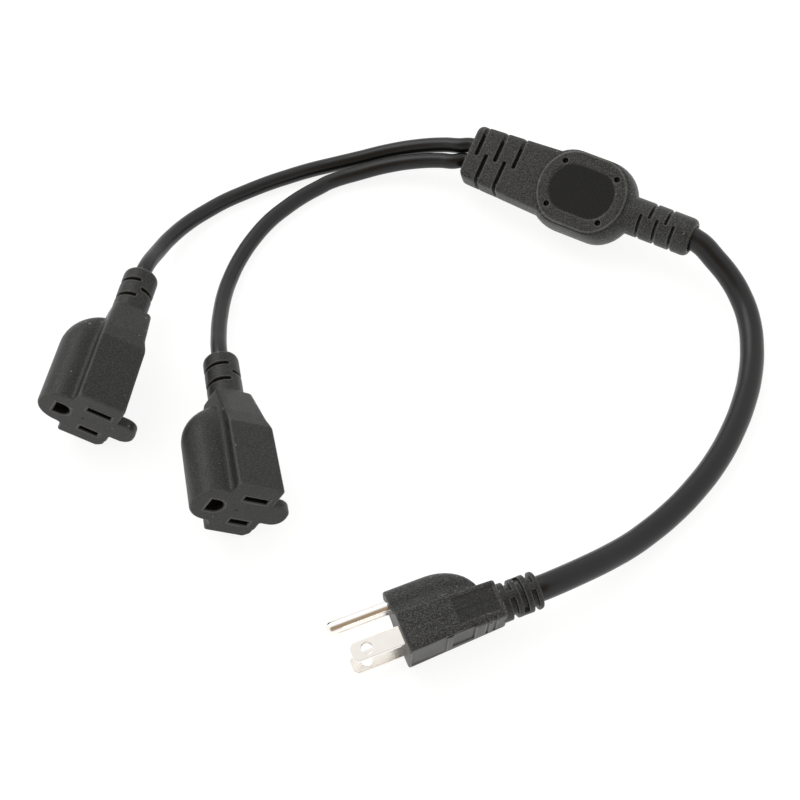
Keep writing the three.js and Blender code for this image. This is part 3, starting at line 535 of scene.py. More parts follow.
def plug_side(depth):
    """How far out the plug's side and top are, this far behind its face."""
    share = depth / plug["body_end"]
    side = plug["right"] + (plug["rear_right"] - plug["right"]) * share
    return side, plug["half"] + (plug["rear_half"] - plug["half"]) * share


def plug_skins():
    """The tapered body, its lobe and the barrel of its strain relief."""
    skins = bmesh.new()
    rings = []
    for depth, inset in (
        (33.5, 0.7), (33.35, 0.3), (33.0, 0.08), (32.5, 0), (22, 0), (11, 0), (0.5, 0),
        (0.12, 0.15), (0, 0.4),
    ):
        share = depth / plug["body_end"]
        side, top = plug_side(depth)
        left = plug["left"] + (plug["rear_left"] - plug["left"]) * share
        radii = (0.9, 1.9, 1.9, 0.9)
        rings.append(rounded_ring(-depth, (left, side), (-top, top), radii, inset))
    loft(skins, rings)
    loft(skins, lobe_rings(plug, plug["rear_left"] + 0.5))
    # The lobe runs out in a low swell over the ground conductor, where that comes in to the cord.
    swell = Matrix.Translation((-5.6, 0, -29.3)) @ Matrix.Diagonal((1.95, 2.8, 4.6, 1))
    bmesh.ops.create_uvsphere(skins, u_segments=24, v_segments=16, radius=1, matrix=swell)
    radius, end = plug["relief_radius"], -plug["length"]
    disc_stack(
        skins,
        [(radius - 0.9, end), (radius - 0.3, end + 0.2), (radius, end + 0.8), (radius, -32.5)],
    )
    return skins


def plug_cuts():
    """What is cut from the plug: its grip, the sunk fields and the cord's mouth."""
    cuts = bmesh.new()
    reach = 3
    # The grip: two panels under one long line, a rib between them, and two short slots with a hook.
    for front, rear, low, high, extra in (
        (0.8, 12.6, -7, 7.2, 0), (14.7, 22.2, -4, 7.2, 0), (-1, 23, 7.0, 7.6, 0.25),
        (26.2, 27.0, -4.5, 5.3, 0.1), (28.8, 29.6, -4.5, 5.3, 0.1),
        (26.2, 28.1, 4.7, 5.3, 0.1), (28.8, 30.6, 4.7, 5.3, 0.1),
        (12.2, 12.7, -6.5, 6, 0.2), (21.8, 22.3, -3.8, 6, 0.2), (0.8, 12.6, -7.3, -6.8, 0.2),
    ):
        rings = []
        for depth in (rear, front):
            side = plug_side(depth)[0] - plug["panel_depth"] - extra
            rings.append([
                (side, low, -depth), (side + reach, low, -depth),
                (side + reach, high, -depth), (side, high, -depth),
            ])
        loft(cuts, rings)
    # The smooth field on both faces, sunk below the grained front.
    for face in (1, -1):
        rings = []
        for depth in (plug["field_rear"], plug["field_front"]):
            level = plug_side(depth)[1] - plug["field_depth"]
            left, right = plug["field_left"], plug["field_right"]
            ring = [(left, level), (right, level), (right, level + reach), (left, level + reach)]
            rings.append([(x, y * face, -depth) for x, y in ring][::face])
        loft(cuts, rings)
    # The mouth: the cord leaves it with a hair of room all round.
    end = -plug["length"]
    disc_stack(cuts, [(4.6, end - 1), (4.6, end + 1.2), (4.3, end + 3)])
    return closed_mesh(cuts)


def plug_grain(point, normal):
    """Coarse on the front of the top and bottom, fine elsewhere."""
    on_face = abs(normal.y) > 0.75 and point.x > -6.6 and -33.5 < point.z < -0.4
    sunk = -32.2 < point.z < -17.8 and -5.1 < point.x < 3.9
    if on_face and not sunk:
        return 1.0
    return 0.8 if point.x < -7 else 0.45


def plug_seam_and_shadow_lines(point, normal):
    """The fine line that the halves of the mould left along each face, and painted shadow along
    the grip's lines.
    """
    if abs(point.x + 0.7) < 0.2 and abs(normal.y) > 0.8 and -31.5 < point.z < -3:
        return 0.55
    # Painted shadow: the long line above the grip, and the foot of each panel.
    if point.x > 4.5 and 6.95 < point.y < 7.5 and -23 < point.z < -0.2:
        return 0.85
    ends = (0.9, 12.5, 14.8, 22.1, 26.3, 26.9, 28.9, 29.5)
    foot = any(abs(point.z + end) < 0.22 for end in ends)
    return 0.7 if foot and point.x > 4.5 and -7 < point.y < 7 else 0.0


def plug_highlights(point, normal):
    """Painted highlights: the crests beside the grip's line and its panels are painted pale, and the
    whole near side a little paler, as the light from the white table falls on it.
    """
    if point.x < 4.5 or not -33 < point.z < -0.2:
        return 0.0
    if -13 < point.z and (7.65 < point.y < 8.0 or -7.5 < point.y < -7.1):
        return 0.7
    ribs = (0.45, 13.0, 14.4, 22.6, 25.9, 27.3, 28.5, 30.0)
    crest = any(abs(point.z + rib) < 0.18 for rib in ribs)
    if crest and -7 < point.y < 7:
        return 0.5
    # Painted light: the near side is painted a little paler.
    return 0.12 if abs(normal.x) > 0.8 else 0.0


moulded(
    "plug_moulding",
    plug_skins(),
    [
        plug_cuts(),
        slots_mesh(
            -44, 0, Count=3, Halves=2, Pitch=3.6, Turn=math.pi / 2, Floor=5.0, Outside=8.0,
            Width=1.7, Sweep=math.radians(158),
        ),
    ],
    0.22,
    plug_place,
    {"grain": plug_grain, "seam_and_shadow_tone": plug_seam_and_shadow_lines, "wear_and_highlight": plug_highlights},
    "plug_body",
)


def cloudy_finish(name, tints, size, detail, gloss, bump, marks=None, **shader_values):
    """A finish whose tint and gloss vary over patches this many mm across. The bump is a strength
    and a height in mm. It follows the patches, or marks of another size and detail."""
    material, tree, shader = new_finish(name, **shader_values)
    place = add_node(tree, "ShaderNodeTexCoord").outputs["Object"]
    cloud, relief = [
        add_node(
            tree, "ShaderNodeTexNoise", {"Vector": place, "Scale": per(across), "Detail": depth}
        )
        for across, depth in ((size, detail), marks or (size, detail))
    ]
    tint = add_node(
        tree, "ShaderNodeMix", {0: cloud, 6: linear(tints[0]), 7: linear(tints[1])},
        data_type="RGBA",
    )
    sheen = add_node(
        tree, "ShaderNodeMapRange", {"Value": cloud, "To Min": gloss[0], "To Max": gloss[1]}
    )
    normal = add_node(
        tree, "ShaderNodeBump",
        {"Height": relief, "Strength": bump[0], "Distance": bump[1] * MM},
    )
    link_shader(tree, shader, Base_Color=tint, Roughness=sheen, Normal=normal)
    return material


# Bright nickel on stamped brass: mirror-like, with the faint draw marks of the strip.
nickel = cloudy_finish(
    "bright nickel plate", ("f4efe8", "fffdfa"), 4, 3.0, (0.1, 0.2), (0.2, 0.02),
    marks=(0.7, 2.0), Metallic=1.0,
)


def laid_piece(name, skins, bevel, place, material, nodes=()):
    """A rigid piece with softly broken edges, laid in its place for these CAD nodes."""
    base = show(name, closed_mesh(skins))
    base.data.shade_smooth()
    broken = base.modifiers.new("broken edges", "BEVEL")
    broken.width = bevel
    broken.segments = 3
    broken.limit_method = "ANGLE"
    broken.angle_limit = math.radians(32)
    broken.harden_normals = True
    mesh = baked(base)
    settle(mesh, place, material)
    add_piece(name, mesh, nodes)


def blade_skins(y):
    """A flat blade with cut tip corners and a hole near its tip, from its root to its tip."""
    skins = bmesh.new()
    half, tip, length, root = 3.175, 1.3, 17, -5
    half_thickness, hole_place, hole_radius = 0.75, 11.9, 1.9
    outline = [
        (-half, root), (half, root), (half, hole_place), (half, length - tip),
        (half - tip, length), (-half + tip, length), (-half, length - tip), (-half, hole_place),
    ]
    hole = round_points(hole_radius, 32, (0, hole_place))
    # Each face is filled between the outline and the hole, and the two faces are joined by walls.
    layers = []
    for level in (-half_thickness, half_thickness):
        edges = []
        loops = []
        for points in (outline, hole):
            row = [skins.verts.new((x, y + level, z)) for x, z in points]
            loops.append(row)
            edges += [skins.edges.new((a, b)) for a, b in zip(row, row[1:] + row[:1])]
        bmesh.ops.triangle_fill(skins, use_beauty=True, edges=edges)
        layers.append(loops)
    for pair in zip(*layers):
        join_rows(skins, pair)
    return skins


def pin_skins():
    """The round ground pin with its bullet tip."""
    skins = bmesh.new()
    radius, length = 2.4, 21.2
    shoulder = length - radius
    turns = [math.radians(degrees) for degrees in (10, 20, 30, 40, 50, 60, 70, 78, 85)]
    tip = [(radius * math.cos(turn), shoulder + radius * math.sin(turn)) for turn in turns]
    disc_stack(skins, [(radius, -5), (radius, shoulder), *tip], (-GROUND_OFFSET, 0))
    return skins


for name, skins, bevel in (
    ("line_blade", blade_skins(BLADE_OFFSET), 0.16),
    ("neutral_blade", blade_skins(-BLADE_OFFSET), 0.16),
    ("ground_pin", pin_skins(), 0.1),
):
    laid_piece(name, skins, bevel, plug_place, nickel, [f"plug_{name}"])

# Junction
# Black PVC moulded over the three splices: a raised oval face with a meshed pad and four pin marks,
# a flat neck with comb slots over the two legs, and a ringed strain relief for the thick cord.
junction = {
    "boss_length": 17, "boss_width": 14.2,
    "body_length": 20.5, "body_width": 15.4, "pad_length": 12.8, "pad_width": 9.3,
    "neck_start": -47, "neck_end": -8, "neck_top": (9.3, 11.7), "neck_middle": (11.5, 13.1),
    "relief_radius": 7.2, "relief_end": 43.7, "leg_spread": 3.15,
}
# The length of an oval's round end over its half width.
END_BLUNTNESS = 0.86
ALONG_X = Matrix.Rotation(math.radians(90), 4, "Y")


def oval(half_length, half_width, steps=20):
    """An oval with straight sides and blunt round ends."""
    straight = half_length - half_width * END_BLUNTNESS
    bend = half_length - straight
    ring = []
    for side, start in ((1, -90), (-1, 90)):
        for i in range(steps + 1):
            angle = math.radians(start + 180 * i / steps)
            x = side * straight + bend * math.cos(angle)
            ring.append((x, half_width * math.sin(angle)))
    return ring


def between(low, high, share):
    """The value this share of the way from low to high."""
    return low + (high - low) * share


def lengthwise(skins):
    """Closed skins that were made along Z, laid along the junction's X."""
    mesh = closed_mesh(skins)
    mesh.transform(ALONG_X)
    return mesh


def junction_skins():
    """The oval body, its flat neck and the barrel of its strain relief."""
    skins = bmesh.new()
    # The wall swells from the raised face to the parting plane. Each step is a height and a share.
    wall = [
        (8.0, -0.09), (7.9, -0.03), (7.7, 0.0), (7.2, 0.06), (7.0, 0.2), (6.6, 0.36), (6.0, 0.5),
        (5.0, 0.68), (4.0, 0.81), (2.8, 0.91), (1.4, 0.97), (0.0, 1.0),
    ]
    steps = [(-z, share) for z, share in wall] + [(z, share) for z, share in wall[-2::-1]]
    rings = []
    for z, share in steps:
        length = between(junction["boss_length"], junction["body_length"], share)
        width = between(junction["boss_width"], junction["body_width"], share)
        if share <= 0:
            width = junction["boss_width"] + 3.5 * share
        rings.append([(x, y, z) for x, y in oval(length, width)])
    loft(skins, rings)
    # The neck: flat on top, with a broken edge and sides that slope out to the parting plane.
    start, end = junction["neck_start"], junction["neck_end"]
    slope = [
        (7.2, -0.28, 0.7), (7.1, -0.08, 0.3), (6.9, 0.12, 0.1), (6.6, 0.3, 0), (6.2, 0.46, 0),
        (5.2, 0.6, 0), (2.6, 0.82, 0), (0, 1.0, 0),
    ]
    steps = [(-z, share, back) for z, share, back in slope]
    steps += [(z, share, back) for z, share, back in slope[-2::-1]]
    rings = []
    for z, share, back in steps:
        ring = []
        for x, turn in ((end, None), (start, 1), (start, -1)):
            along = (x - start) / (end - start)
            top = between(*junction["neck_top"], along)
            half = between(top, between(*junction["neck_middle"], along), share)
            if turn is None:
                ring += [(x, -half, z), (x, half, z)]
                continue
            corner = 2.2
            for i in range(7):
                angle = math.radians(15 * i)
                if turn == -1:
                    angle = math.radians(90 - 15 * i)
                ring.append(
                    (
                        x + back + corner * (1 - math.sin(angle)),
                        turn * (half - corner * (1 - math.cos(angle))),
                        z,
                    )
                )
        rings.append(ring)
    loft(skins, rings)
    # The strain relief stands along X. Its end is rounded over.
    relief = bmesh.new()
    radius, tip = junction["relief_radius"], junction["relief_end"]
    disc_stack(
        relief,
        [
            (radius, 0), (radius, tip - 2.2), (radius - 0.15, tip - 1.4), (radius - 0.6, tip - 0.6),
            (radius - 1.2, tip - 0.15), (radius - 1.8, tip),
        ],
    )
    skins.from_mesh(lengthwise(relief))
    return skins


def comb_tree():
    """Geometry nodes for the neck's comb: slots at an even pitch that come in turn from either side.
    Each goes over, beside and under the core that holds the legs."""
    tree, given = new_tree(
        "comb slots", ("Count", "Pitch", "Width", "Overlap", "Reach", "Core Width", "Core Height")
    )
    reach = given["Reach"]
    below, under = [
        add_node(tree, "ShaderNodeMath", {0: height, 1: -1.0}, operation="MULTIPLY")
        for height in (reach, given["Core Height"])
    ]
    slot = add_node(tree, "GeometryNodeJoinGeometry")
    for inner, bottom, top in (
        (given["Overlap"], given["Core Height"], reach),
        (given["Overlap"], below, under),
        (given["Core Width"], below, reach),
    ):
        wide, tall, y_sum, z_sum = [
            add_node(tree, "ShaderNodeMath", {0: high, 1: low}, operation=operation)
            for operation in ("SUBTRACT", "ADD")
            for high, low in ((reach, inner), (top, bottom))
        ]
        size = add_node(tree, "ShaderNodeCombineXYZ", {"X": given["Width"], "Y": wide, "Z": tall})
        cube = add_node(tree, "GeometryNodeMeshCube", {"Size": size})
        ends = add_node(tree, "ShaderNodeCombineXYZ", {"Y": y_sum, "Z": z_sum})
        middle = add_node(
            tree, "ShaderNodeVectorMath", {0: ends, 1: (0.5, 0.5, 0.5)}, operation="MULTIPLY"
        )
        moved = add_node(
            tree, "GeometryNodeTransform", {"Geometry": cube, "Translation": middle}
        )
        tree.links.new(moved.outputs[0], slot.inputs[0])
    index = add_node(tree, "GeometryNodeInputIndex")
    along = add_node(tree, "ShaderNodeMath", {0: index, 1: given["Pitch"]}, operation="MULTIPLY")
    odd = add_node(tree, "ShaderNodeMath", {0: index, 1: 2.0}, operation="MODULO")
    turned = add_node(tree, "ShaderNodeMath", {0: odd, 1: math.pi}, operation="MULTIPLY")
    spot = add_node(tree, "ShaderNodeCombineXYZ", {"X": along})
    spin = add_node(tree, "ShaderNodeCombineXYZ", {"X": turned})
    return close_tree(tree, spread(tree, slot, given["Count"], spot, spin), given["Finish"])


def comb_mesh():
    """The cutters of the comb, from the neck's foot on."""
    mesh = grown(
        comb_tree(),
        {
            "Count": 5, "Pitch": 3.88, "Width": 1.5, "Overlap": -0.75, "Reach": 18.0,
            "Core Width": 8.0, "Core Height": 4.6, "Finish": pvc,
        },
    )
    mesh.transform(Matrix.Translation((-43.6, -0.25, 0)))
    return mesh


def junction_cuts():
    """What is cut from the junction: pads, pin marks, creases and the mouths of the cords."""
    cuts = bmesh.new()
    floor, above = 7.6, 9
    for face in (1, -1):
        ring = oval(junction["pad_length"], junction["pad_width"])
        prism(cuts, ring, sorted((face * floor, face * above)))
        marks = sorted((face * (floor - 2), face * above))
        for x in (-10.46, 10.46):
            for y in (-8.75, 8.75):
                disc_stack(cuts, [(1.1, z) for z in marks], (x, y), 24)
    # Fine creases run round the foot of the raised face and round the swell of the wall.
    for face in (1, -1):
        path = oval(junction["boss_length"] + 0.2, junction["boss_width"] + 0.15, 32)
        crease(cuts, [(x, y, face * 7.2) for x, y in path], 0.34)
        path = oval(junction["body_length"] - 0.25, junction["body_width"] - 0.1, 32)
        crease(cuts, [(x, y, face * 2.6) for x, y in path], 0.3)
    # The mouths of the cords.
    mouths = bmesh.new()
    tip = junction["relief_end"]
    disc_stack(mouths, [(4.3, tip - 3), (4.75, tip - 1.4), (5.0, tip + 1)])
    for side in (1, -1):
        foot = junction["neck_start"]
        spot = (0, side * junction["leg_spread"])
        disc_stack(mouths, [(3.3, foot - 1), (3.2, foot + 0.8), (2.95, foot + 1.6)], spot)
    cuts.from_mesh(lengthwise(mouths))
    return closed_mesh(cuts)


def crease(skins, path, radius):
    """Adds a thin round bead along a closed path, to cut a fine crease."""
    sides = 6
    rows = []
    for i, point in enumerate(path):
        ahead = Vector(path[(i + 1) % len(path)]) - Vector(path[i - 1])
        across = Vector((ahead.y, -ahead.x, 0)).normalized()
        row = []
        for k in range(sides):
            angle = 2 * math.pi * k / sides
            offset = across * math.cos(angle) + Vector((0, 0, 1)) * math.sin(angle)
            row.append(skins.verts.new(Vector(point) + offset * radius))
        rows.append(row)
    join_rows(skins, rows + rows[:1])


def junction_seam_and_shade(point, normal):
    """A dark line along the parting plane, partly the seam where the halves of the mould met and
    partly painted shade where the wall turns under, and painted shade in the crease round the
    raised face.
    """
    side = abs(normal.z) < 0.75 and point.x < 42
    if side and abs(point.z) < 0.24:
        return 0.85
    # Painted shade in the crease at the foot of the raised face.
    gap = boss_gap(point)
    return 0.75 if 0.0 < gap < 0.5 and 6.7 < abs(point.z) < 7.3 else 0.0


def boss_gap(point):
    """How far a place lies outside the raised face's foot."""
    straight = junction["boss_length"] - junction["boss_width"] * END_BLUNTNESS
    reach = junction["boss_length"] - straight
    over = max(abs(point.x) - straight, 0) / reach
    return (math.hypot(over, point.y / junction["boss_width"]) - 1) * junction["boss_width"]


def junction_rim_wear_and_highlight(point, normal):
    """The rim of the raised face is painted paler, partly as wear and partly as painted highlight.
    """
    gap = boss_gap(point)
    return 0.35 if abs(point.z) > 7.3 and -0.75 < gap < -0.2 else 0.0


yaw, pitch, roll = -29.3, 1.9, 29
junction_place = (
    Matrix.Translation(Vector((75.3, 79.6, 14.0324)) * MM)
    @ Matrix.Rotation(math.radians(yaw), 4, "Z")
    @ Matrix.Rotation(math.radians(-pitch), 4, "Y")
    @ Matrix.Rotation(math.radians(roll), 4, "X")
)
junction_slots = slots_mesh(
    24, 270, Count=5, Halves=1, Pitch=3.2, Turn=math.pi, Floor=5.2, Outside=9.0, Width=1.1,
    Sweep=math.radians(186),
)
junction_slots.transform(ALONG_X)
moulded(
    "junction_moulding",
    junction_skins(),
    [junction_cuts(), comb_mesh(), junction_slots],
    0.3,
    junction_place,
    {"grain": lambda point, normal: 0.8, "seam_and_shadow_tone": junction_seam_and_shade, "wear_and_highlight": junction_rim_wear_and_highlight},
    "junction_body",
)


def thread_tree():
    """Geometry nodes for the pad's mesh: fine threads at an even pitch over a square."""
    tree, given = new_tree("pad threads", ("Count", "Pitch", "Length", "Width", "Height", "Lean"))
    size = add_node(
        tree, "ShaderNodeCombineXYZ",
        {"X": given["Width"], "Y": given["Length"], "Z": given["Height"]},
    )
    thread = add_node(tree, "GeometryNodeMeshCube", {"Size": size})
    index = add_node(tree, "GeometryNodeInputIndex")
    last = add_node(tree, "ShaderNodeMath", {0: given["Count"], 1: 1.0}, operation="SUBTRACT")
    middle = add_node(tree, "ShaderNodeMath", {0: last, 1: 0.5}, operation="MULTIPLY")
    centred = add_node(tree, "ShaderNodeMath", {0: index, 1: middle}, operation="SUBTRACT")
    across = add_node(
        tree, "ShaderNodeMath", {0: centred, 1: given["Pitch"]}, operation="MULTIPLY"
    )
    spot = add_node(tree, "ShaderNodeCombineXYZ", {"X": across})
    rows = spread(tree, thread, given["Count"], spot)
    lean = add_node(tree, "ShaderNodeCombineXYZ", {"Z": given["Lean"]})
    leant = add_node(tree, "GeometryNodeTransform", {"Geometry": rows, "Rotation": lean})
    return close_tree(tree, leant, given["Finish"])


# The pad is deeper black than the rest, and its threads are dull.
pad_floor, meshed = [
    cloudy_finish(
        f"meshed PVC, {part}", tints, 0.5, 2.0, (0.5, 0.7), (0.5, 0.05),
        IOR=1.53, Specular_IOR_Level=0.35,
    )
    for part, tints in (("floor", ("040404", "0a0a0a")), ("threads", ("222221", "40403d")))
]
threads = thread_tree()


def pad_mesh(name, turn):
    """One pad: the threads, cut to the oval, on a thin floor. The turn about X puts it on its
    face. The threads are drawn a little coarser than the real ones, which the camera can't show."""
    ring = oval(junction["pad_length"] - 0.12, junction["pad_width"] - 0.12, 32)
    plate = bmesh.new()
    prism(plate, ring, (7.4, 7.63))
    layers = [closed_mesh(plate)]
    trim = bmesh.new()
    prism(trim, [(x * 0.985, y * 0.985) for x, y in ring], (7.0, 9.0))
    cutter = show("trim", closed_mesh(trim))
    for lean, height, pitch in ((-32, 0.3, 0.86), (58, 0.08, 1.7)):
        mesh = grown(
            threads,
            {
                "Count": 40, "Pitch": pitch, "Length": 32.0, "Width": 0.36, "Height": height,
                "Lean": math.radians(lean), "Finish": meshed,
            },
        )
        mesh.transform(Matrix.Translation((0, 0, 7.62)))
        rows = show("rows", mesh)
        clip = rows.modifiers.new("clip", "BOOLEAN")
        clip.operation = "INTERSECT"
        clip.solver = "EXACT"
        clip.object = cutter
        layers.append(baked(rows))
    bpy.data.objects.remove(cutter)
    whole = bmesh.new()
    done = 0
    for index, mesh in enumerate(layers):
        whole.from_mesh(mesh)
        whole.faces.ensure_lookup_table()
        for face in whole.faces[done:]:
            face.material_index = min(index, 1)
        done = len(whole.faces)
    pad = bpy.data.meshes.new(name)
    whole.to_mesh(pad)
    whole.free()
    settle(pad, junction_place @ Matrix.Rotation(turn, 4, "X"), pad_floor, meshed)
    add_piece(name, pad)


pad_mesh("junction_upper_pad", 0)
pad_mesh("junction_lower_pad", math.pi)

# Sockets
# Two alike bodies of black PVC moulded over a rigid insert: a flat face with two slots and a round
# ground hole, a finger tab beside it, a sloping neck and a strain relief with three half slots.
socket = {
    "left": -9.5, "right": 7.3, "half": 13.4, "lobe_radius": 8.3, "lobe_fillet": 2.3,
    "lobe_length": 25, "lobe_dome": 13.5, "axis": -1.5, "length": 64.5,
    "neck_left": -8, "neck_right": 6, "neck_half": 6.2, "relief_radius": 6.25,
}
COLLAR_WALL = 0.8


def socket_ring(z, left, right, half, radius, inset=0.0):
    """The body's section: its lower tab-side corner is cut off with a small step above the cut."""
    ring = rounded_ring(z, (left, right), (-half, half), (radius, 0.5, radius, radius), inset)
    shrink = half / socket["half"]
    x, y = right - inset, -half + inset
    ring[6:12] = [
        (x - in_x * shrink, y + in_y * shrink, z)
        for in_x, in_y in ((2.3, 0), (1.3, 0.9), (0.4, 2.1), (0.4, 3.4), (0.35, 4.0), (0, 4.5))
    ]
    return ring


def socket_skins():
    """The body with its sloping neck, its lobe, its finger tab and the barrel of its relief."""
    skins = bmesh.new()
    s = socket
    left, neck_left, neck_right, neck_half = (
        s["left"], s["neck_left"], s["neck_right"], s["neck_half"],
    )
    sections = [
        socket_ring(-depth, *section)
        for depth, *section in (
            (46.5, neck_left, neck_right, neck_half, 2.3, 0.8),
            (46.35, neck_left, neck_right, neck_half + 0.03, 2.3, 0.35),
            (45.9, neck_left, neck_right, neck_half + 0.15, 2.3, 0.05),
            (45.3, neck_left, neck_right, 6.55, 2.3), (39, left + 0.95, 6.0, 8.85, 1.9),
            (33, left + 0.5, 5.95, 11.0, 1.4), (31, left + 0.35, 6.05, 11.6, 1.2),
            (29.5, left + 0.25, 6.35, 12.05, 1.0), (28, left + 0.15, 6.7, 12.5, 0.9),
            (26.8, left + 0.05, 6.9, 12.86, 0.9), (26, left, 7.0, 12.9, 0.9),
            (13, left, 7.15, 13.15, 0.9), (0.6, left, s["right"], s["half"], 0.9),
            (0.15, left, s["right"], s["half"], 0.9, 0.15),
            (0, left, s["right"], s["half"], 0.9, 0.42),
        )
    ]
    loft(skins, sections)
    loft(skins, lobe_rings(s, s["neck_left"] + 0.5))
    # The finger tab, flush with the face.
    rings = []
    for z, inset in ((4, 0.7), (3.75, 0.25), (3.3, 0), (0.6, 0), (0.15, 0.15), (0, 0.42)):
        rings.append(rounded_ring(-z, (6.3, 14.7), (-5.2, 5.2), (0.5, 4.6, 4.6, 0.5), inset, 10))
    loft(skins, rings)
    radius, end, axis = s["relief_radius"], -s["length"], (s["axis"], 0)
    disc_stack(
        skins,
        [
            (radius - 2.2, end), (radius - 1.5, end + 0.12), (radius - 0.7, end + 0.55),
            (radius - 0.2, end + 1.2), (radius, end + 2.1), (radius, -44.5),
        ],
        axis,
    )
    return skins


def hole_outline(kind, room):
    """A hole's outline in the face, with this much room round it. The ground's has one flat."""
    if kind == "ground":
        radius, flat = 2.95 + room, -GROUND_OFFSET - 2.3 - room
        arc = [math.radians(7.5 * i - 90) for i in range(25)]
        bend = [(-GROUND_OFFSET + radius * math.cos(a), radius * math.sin(a)) for a in arc]
        return [(flat, -radius), *bend, (flat, radius)]
    y, half = {"neutral": (BLADE_OFFSET, 4.15), "line": (-BLADE_OFFSET, 3.3)}[kind]
    across = 1 + room
    half += room
    return [(-half, y - across), (half, y - across), (half, y + across), (-half, y + across)]


def socket_cuts():
    """What is cut from a socket: the holes, the insert's room and the cord's mouth."""
    cuts = bmesh.new()
    # Each hole is wide enough for its collar.
    for kind in ("neutral", "line", "ground"):
        prism(cuts, hole_outline(kind, COLLAR_WALL), (-3.5, 1))
    # The mark of an ejector pin in the middle of the face.
    disc_stack(cuts, [(0.45, -0.5), (0.55, 1)], (-4, 0), 16)
    # The room for the insert with the contacts.
    room = (-20, -2.4)
    block(cuts, (-7.7, 5.3), (-10.7, 10.7), room)
    disc_stack(cuts, [(5.5, z) for z in room], (-GROUND_OFFSET, 0))
    block(cuts, (-GROUND_OFFSET, -7), (-5.5, 5.5), room)
    end = -socket["length"]
    disc_stack(cuts, [(3.3, end - 1), (3.25, end + 0.6), (2.95, end + 1.8)], (socket["axis"], 0))
    return closed_mesh(cuts)


def socket_grain(point, normal):
    """The face came from a ground part of the mould, so its grain is finer."""
    return 0.3 if point.z > -0.5 else 0.4


PLACES = {
    "left": connector_place(-97.3, -22.1, 14.3252, -11.1, 0.3, 25.9),
    "right": connector_place(-43.4, -57.6, 14.7399, 10.3, 2.6, 31.6),
}
for side, place in PLACES.items():
    slots = slots_mesh(
        -58.3, 180, Count=3, Halves=1, Pitch=3.4, Turn=math.pi, Floor=4.3, Outside=8.0, Width=1.3,
        Sweep=math.radians(172),
    )
    slots.transform(Matrix.Translation((socket["axis"], 0, 0)))
    moulded(
        f"{side}_socket_moulding",
        socket_skins(),
        [socket_cuts(), slots],
        0.3,
        place,
        {"grain": socket_grain},
        f"{side}_socket_body",
    )

# Collars
# The socket's rigid insert stands up round its three holes, flush with the soft face moulded round
# it. Its thin edge shows there as a paler line, a painted highlight.


def collar_skins():
    """Each collar is a pipe with the hole's own outline and a fine lip round its outer edge."""
    skins = bmesh.new()
    # The lip's crest carries a painted highlight in this layer.
    wear_and_highlight = skins.verts.layers.float.new("wear_and_highlight")
    for kind in ("ground", "neutral", "line"):
        rings = []
        for room, z, crest in (
            (COLLAR_WALL, -2.2, 0), (COLLAR_WALL, 0.03, 1), (0.5, 0.03, 1), (0.45, -0.12, 0),
            (0.06, -0.12, 0), (0, -0.2, 0), (0, -2.2, 0),
        ):
            ring = [skins.verts.new((x, y, z)) for x, y in hole_outline(kind, room)]
            for vertex in ring:
                vertex[wear_and_highlight] = crest
            rings.append(ring)
        join_rows(skins, rings + rings[:1])
    return skins


collar_nylon, tree, shader = new_finish("nylon collar", Roughness=0.5, IOR=1.53)
place = add_node(tree, "ShaderNodeTexCoord").outputs["Object"]
cloud = add_node(
    tree, "ShaderNodeTexNoise", {"Vector": place, "Scale": per(1.5), "Detail": 3.0}
)
lip_highlight = add_node(tree, "ShaderNodeAttribute", attribute_name="wear_and_highlight").outputs["Fac"]
tint = linear("060606")
# The lip is painted paler: a painted highlight.
for share, colour in ((cloud, "0e0e0d"), (lip_highlight, "4a4a46")):
    tint = add_node(
        tree, "ShaderNodeMix", {0: share, 6: tint, 7: linear(colour)}, data_type="RGBA"
    )
link_shader(tree, shader, Base_Color=tint)
for side, place in PLACES.items():
    laid_piece(
        f"{side}_socket_collars", collar_skins(), 0.04, place, collar_nylon
    )

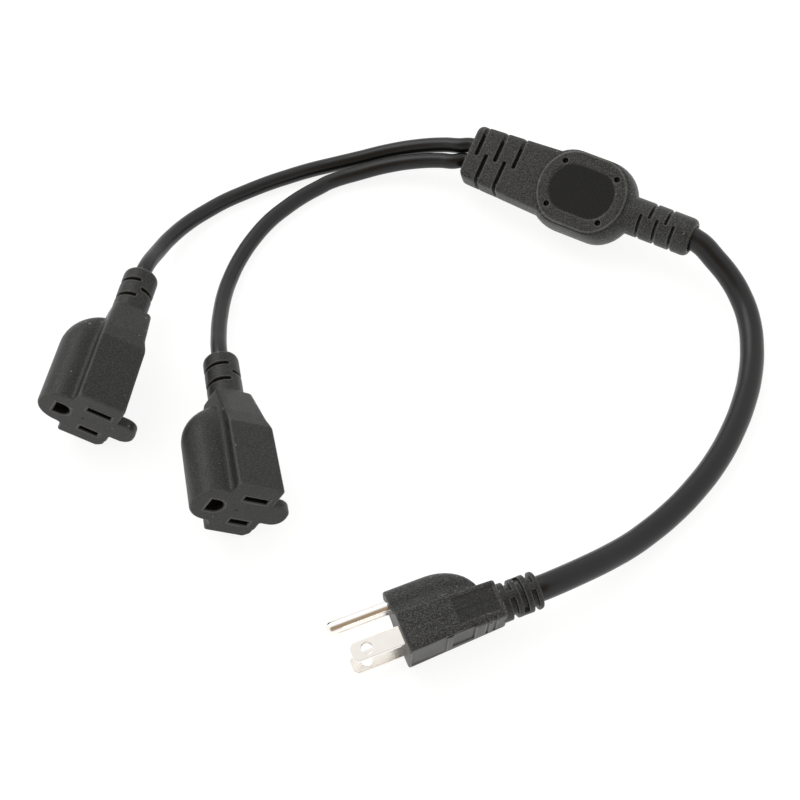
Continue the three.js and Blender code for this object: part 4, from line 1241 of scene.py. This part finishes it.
# Inner pieces
# What the mouldings hold: the insert and bridge of rigid nylon, sprung contacts of stamped brass,
# crimped copper splices, and the cords' conductors in black, white and green insulation.
finishes = {}
for name, dark, light, size, gloss, metallic, endings in (
    ("moulded nylon", "0a0a0b", "161618", 2, (0.52, 0.68), 0.0, ("carrier", "bridge")),
    ("stamped spring brass", "9a7a34", "c2a258", 1.5, (0.24, 0.4), 1.0, ("contact",)),
    ("tinned copper", "a79f92", "cfc9be", 1.2, (0.27, 0.43), 1.0, ("crimp",)),
    ("black core PVC", "101010", "1e1e1e", 2, (0.37, 0.53), 0.0, ("line_wire",)),
    ("white core PVC", "d2cfc6", "ece9e1", 2, (0.37, 0.53), 0.0, ("neutral_wire",)),
    ("green core PVC", "146030", "268846", 2, (0.37, 0.53), 0.0, ("ground_wire",)),
):
    finish = cloudy_finish(
        name, (dark, light), size, 4.0, gloss, (0.3, 0.03), Metallic=metallic
    )
    finishes.update({ending: finish for ending in endings})
for name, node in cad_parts.items():
    for ending, finish in finishes.items():
        if name.endswith(ending):
            node.data.materials.clear()
            node.data.materials.append(finish)

# Studio
# A white table in a light tent: white light from all sides, dimmer and warmer round the camera,
# where the tent is open.
table = bpy.data.meshes.new("table")
reach, level = 3.0, -0.0001
corners = [(-reach, -reach), (reach, -reach), (reach, reach), (-reach, reach)]
table.from_pydata([(x, y, level) for x, y in corners], [], [(0, 1, 2, 3)])
table_object = show("table", table)
white, tree, shader = new_finish(
    "white table", Roughness=0.9, Base_Color=linear("808080"), Emission_Color=linear("ffffff"),
    Emission_Strength=0.86,
)
table.materials.append(white)

world = bpy.data.worlds.new("light tent")
bpy.context.scene.world = world
world.use_nodes = True
sky = world.node_tree
sky.nodes.clear()
way = add_node(sky, "ShaderNodeTexCoord").outputs["Generated"]
opening = tuple((camera.location - table_point).normalized())
toward = add_node(sky, "ShaderNodeVectorMath", {0: way, 1: opening}, operation="DOT_PRODUCT")
share = add_node(
    sky, "ShaderNodeMapRange", {"Value": toward, "From Min": 0.72, "From Max": 0.93}
)
tent = add_node(
    sky, "ShaderNodeMix", {0: share, 6: linear("ffffff"), 7: linear("a08b74")},
    data_type="RGBA",
)
lit = add_node(sky, "ShaderNodeBackground", {"Color": tent, "Strength": 1.0})
add_node(sky, "ShaderNodeOutputWorld", {"Surface": lit})

softbox_data = bpy.data.lights.new("softbox", "AREA")
softbox_data.energy = 3
softbox_data.size = 0.7
softbox = show("softbox", softbox_data)
softbox.location = (-0.5, 0.5, 0.9)
softbox.rotation_euler = (-softbox.location).to_track_quat("-Z", "Y").to_euler()
bpy.context.scene.view_settings.view_transform = "Standard"
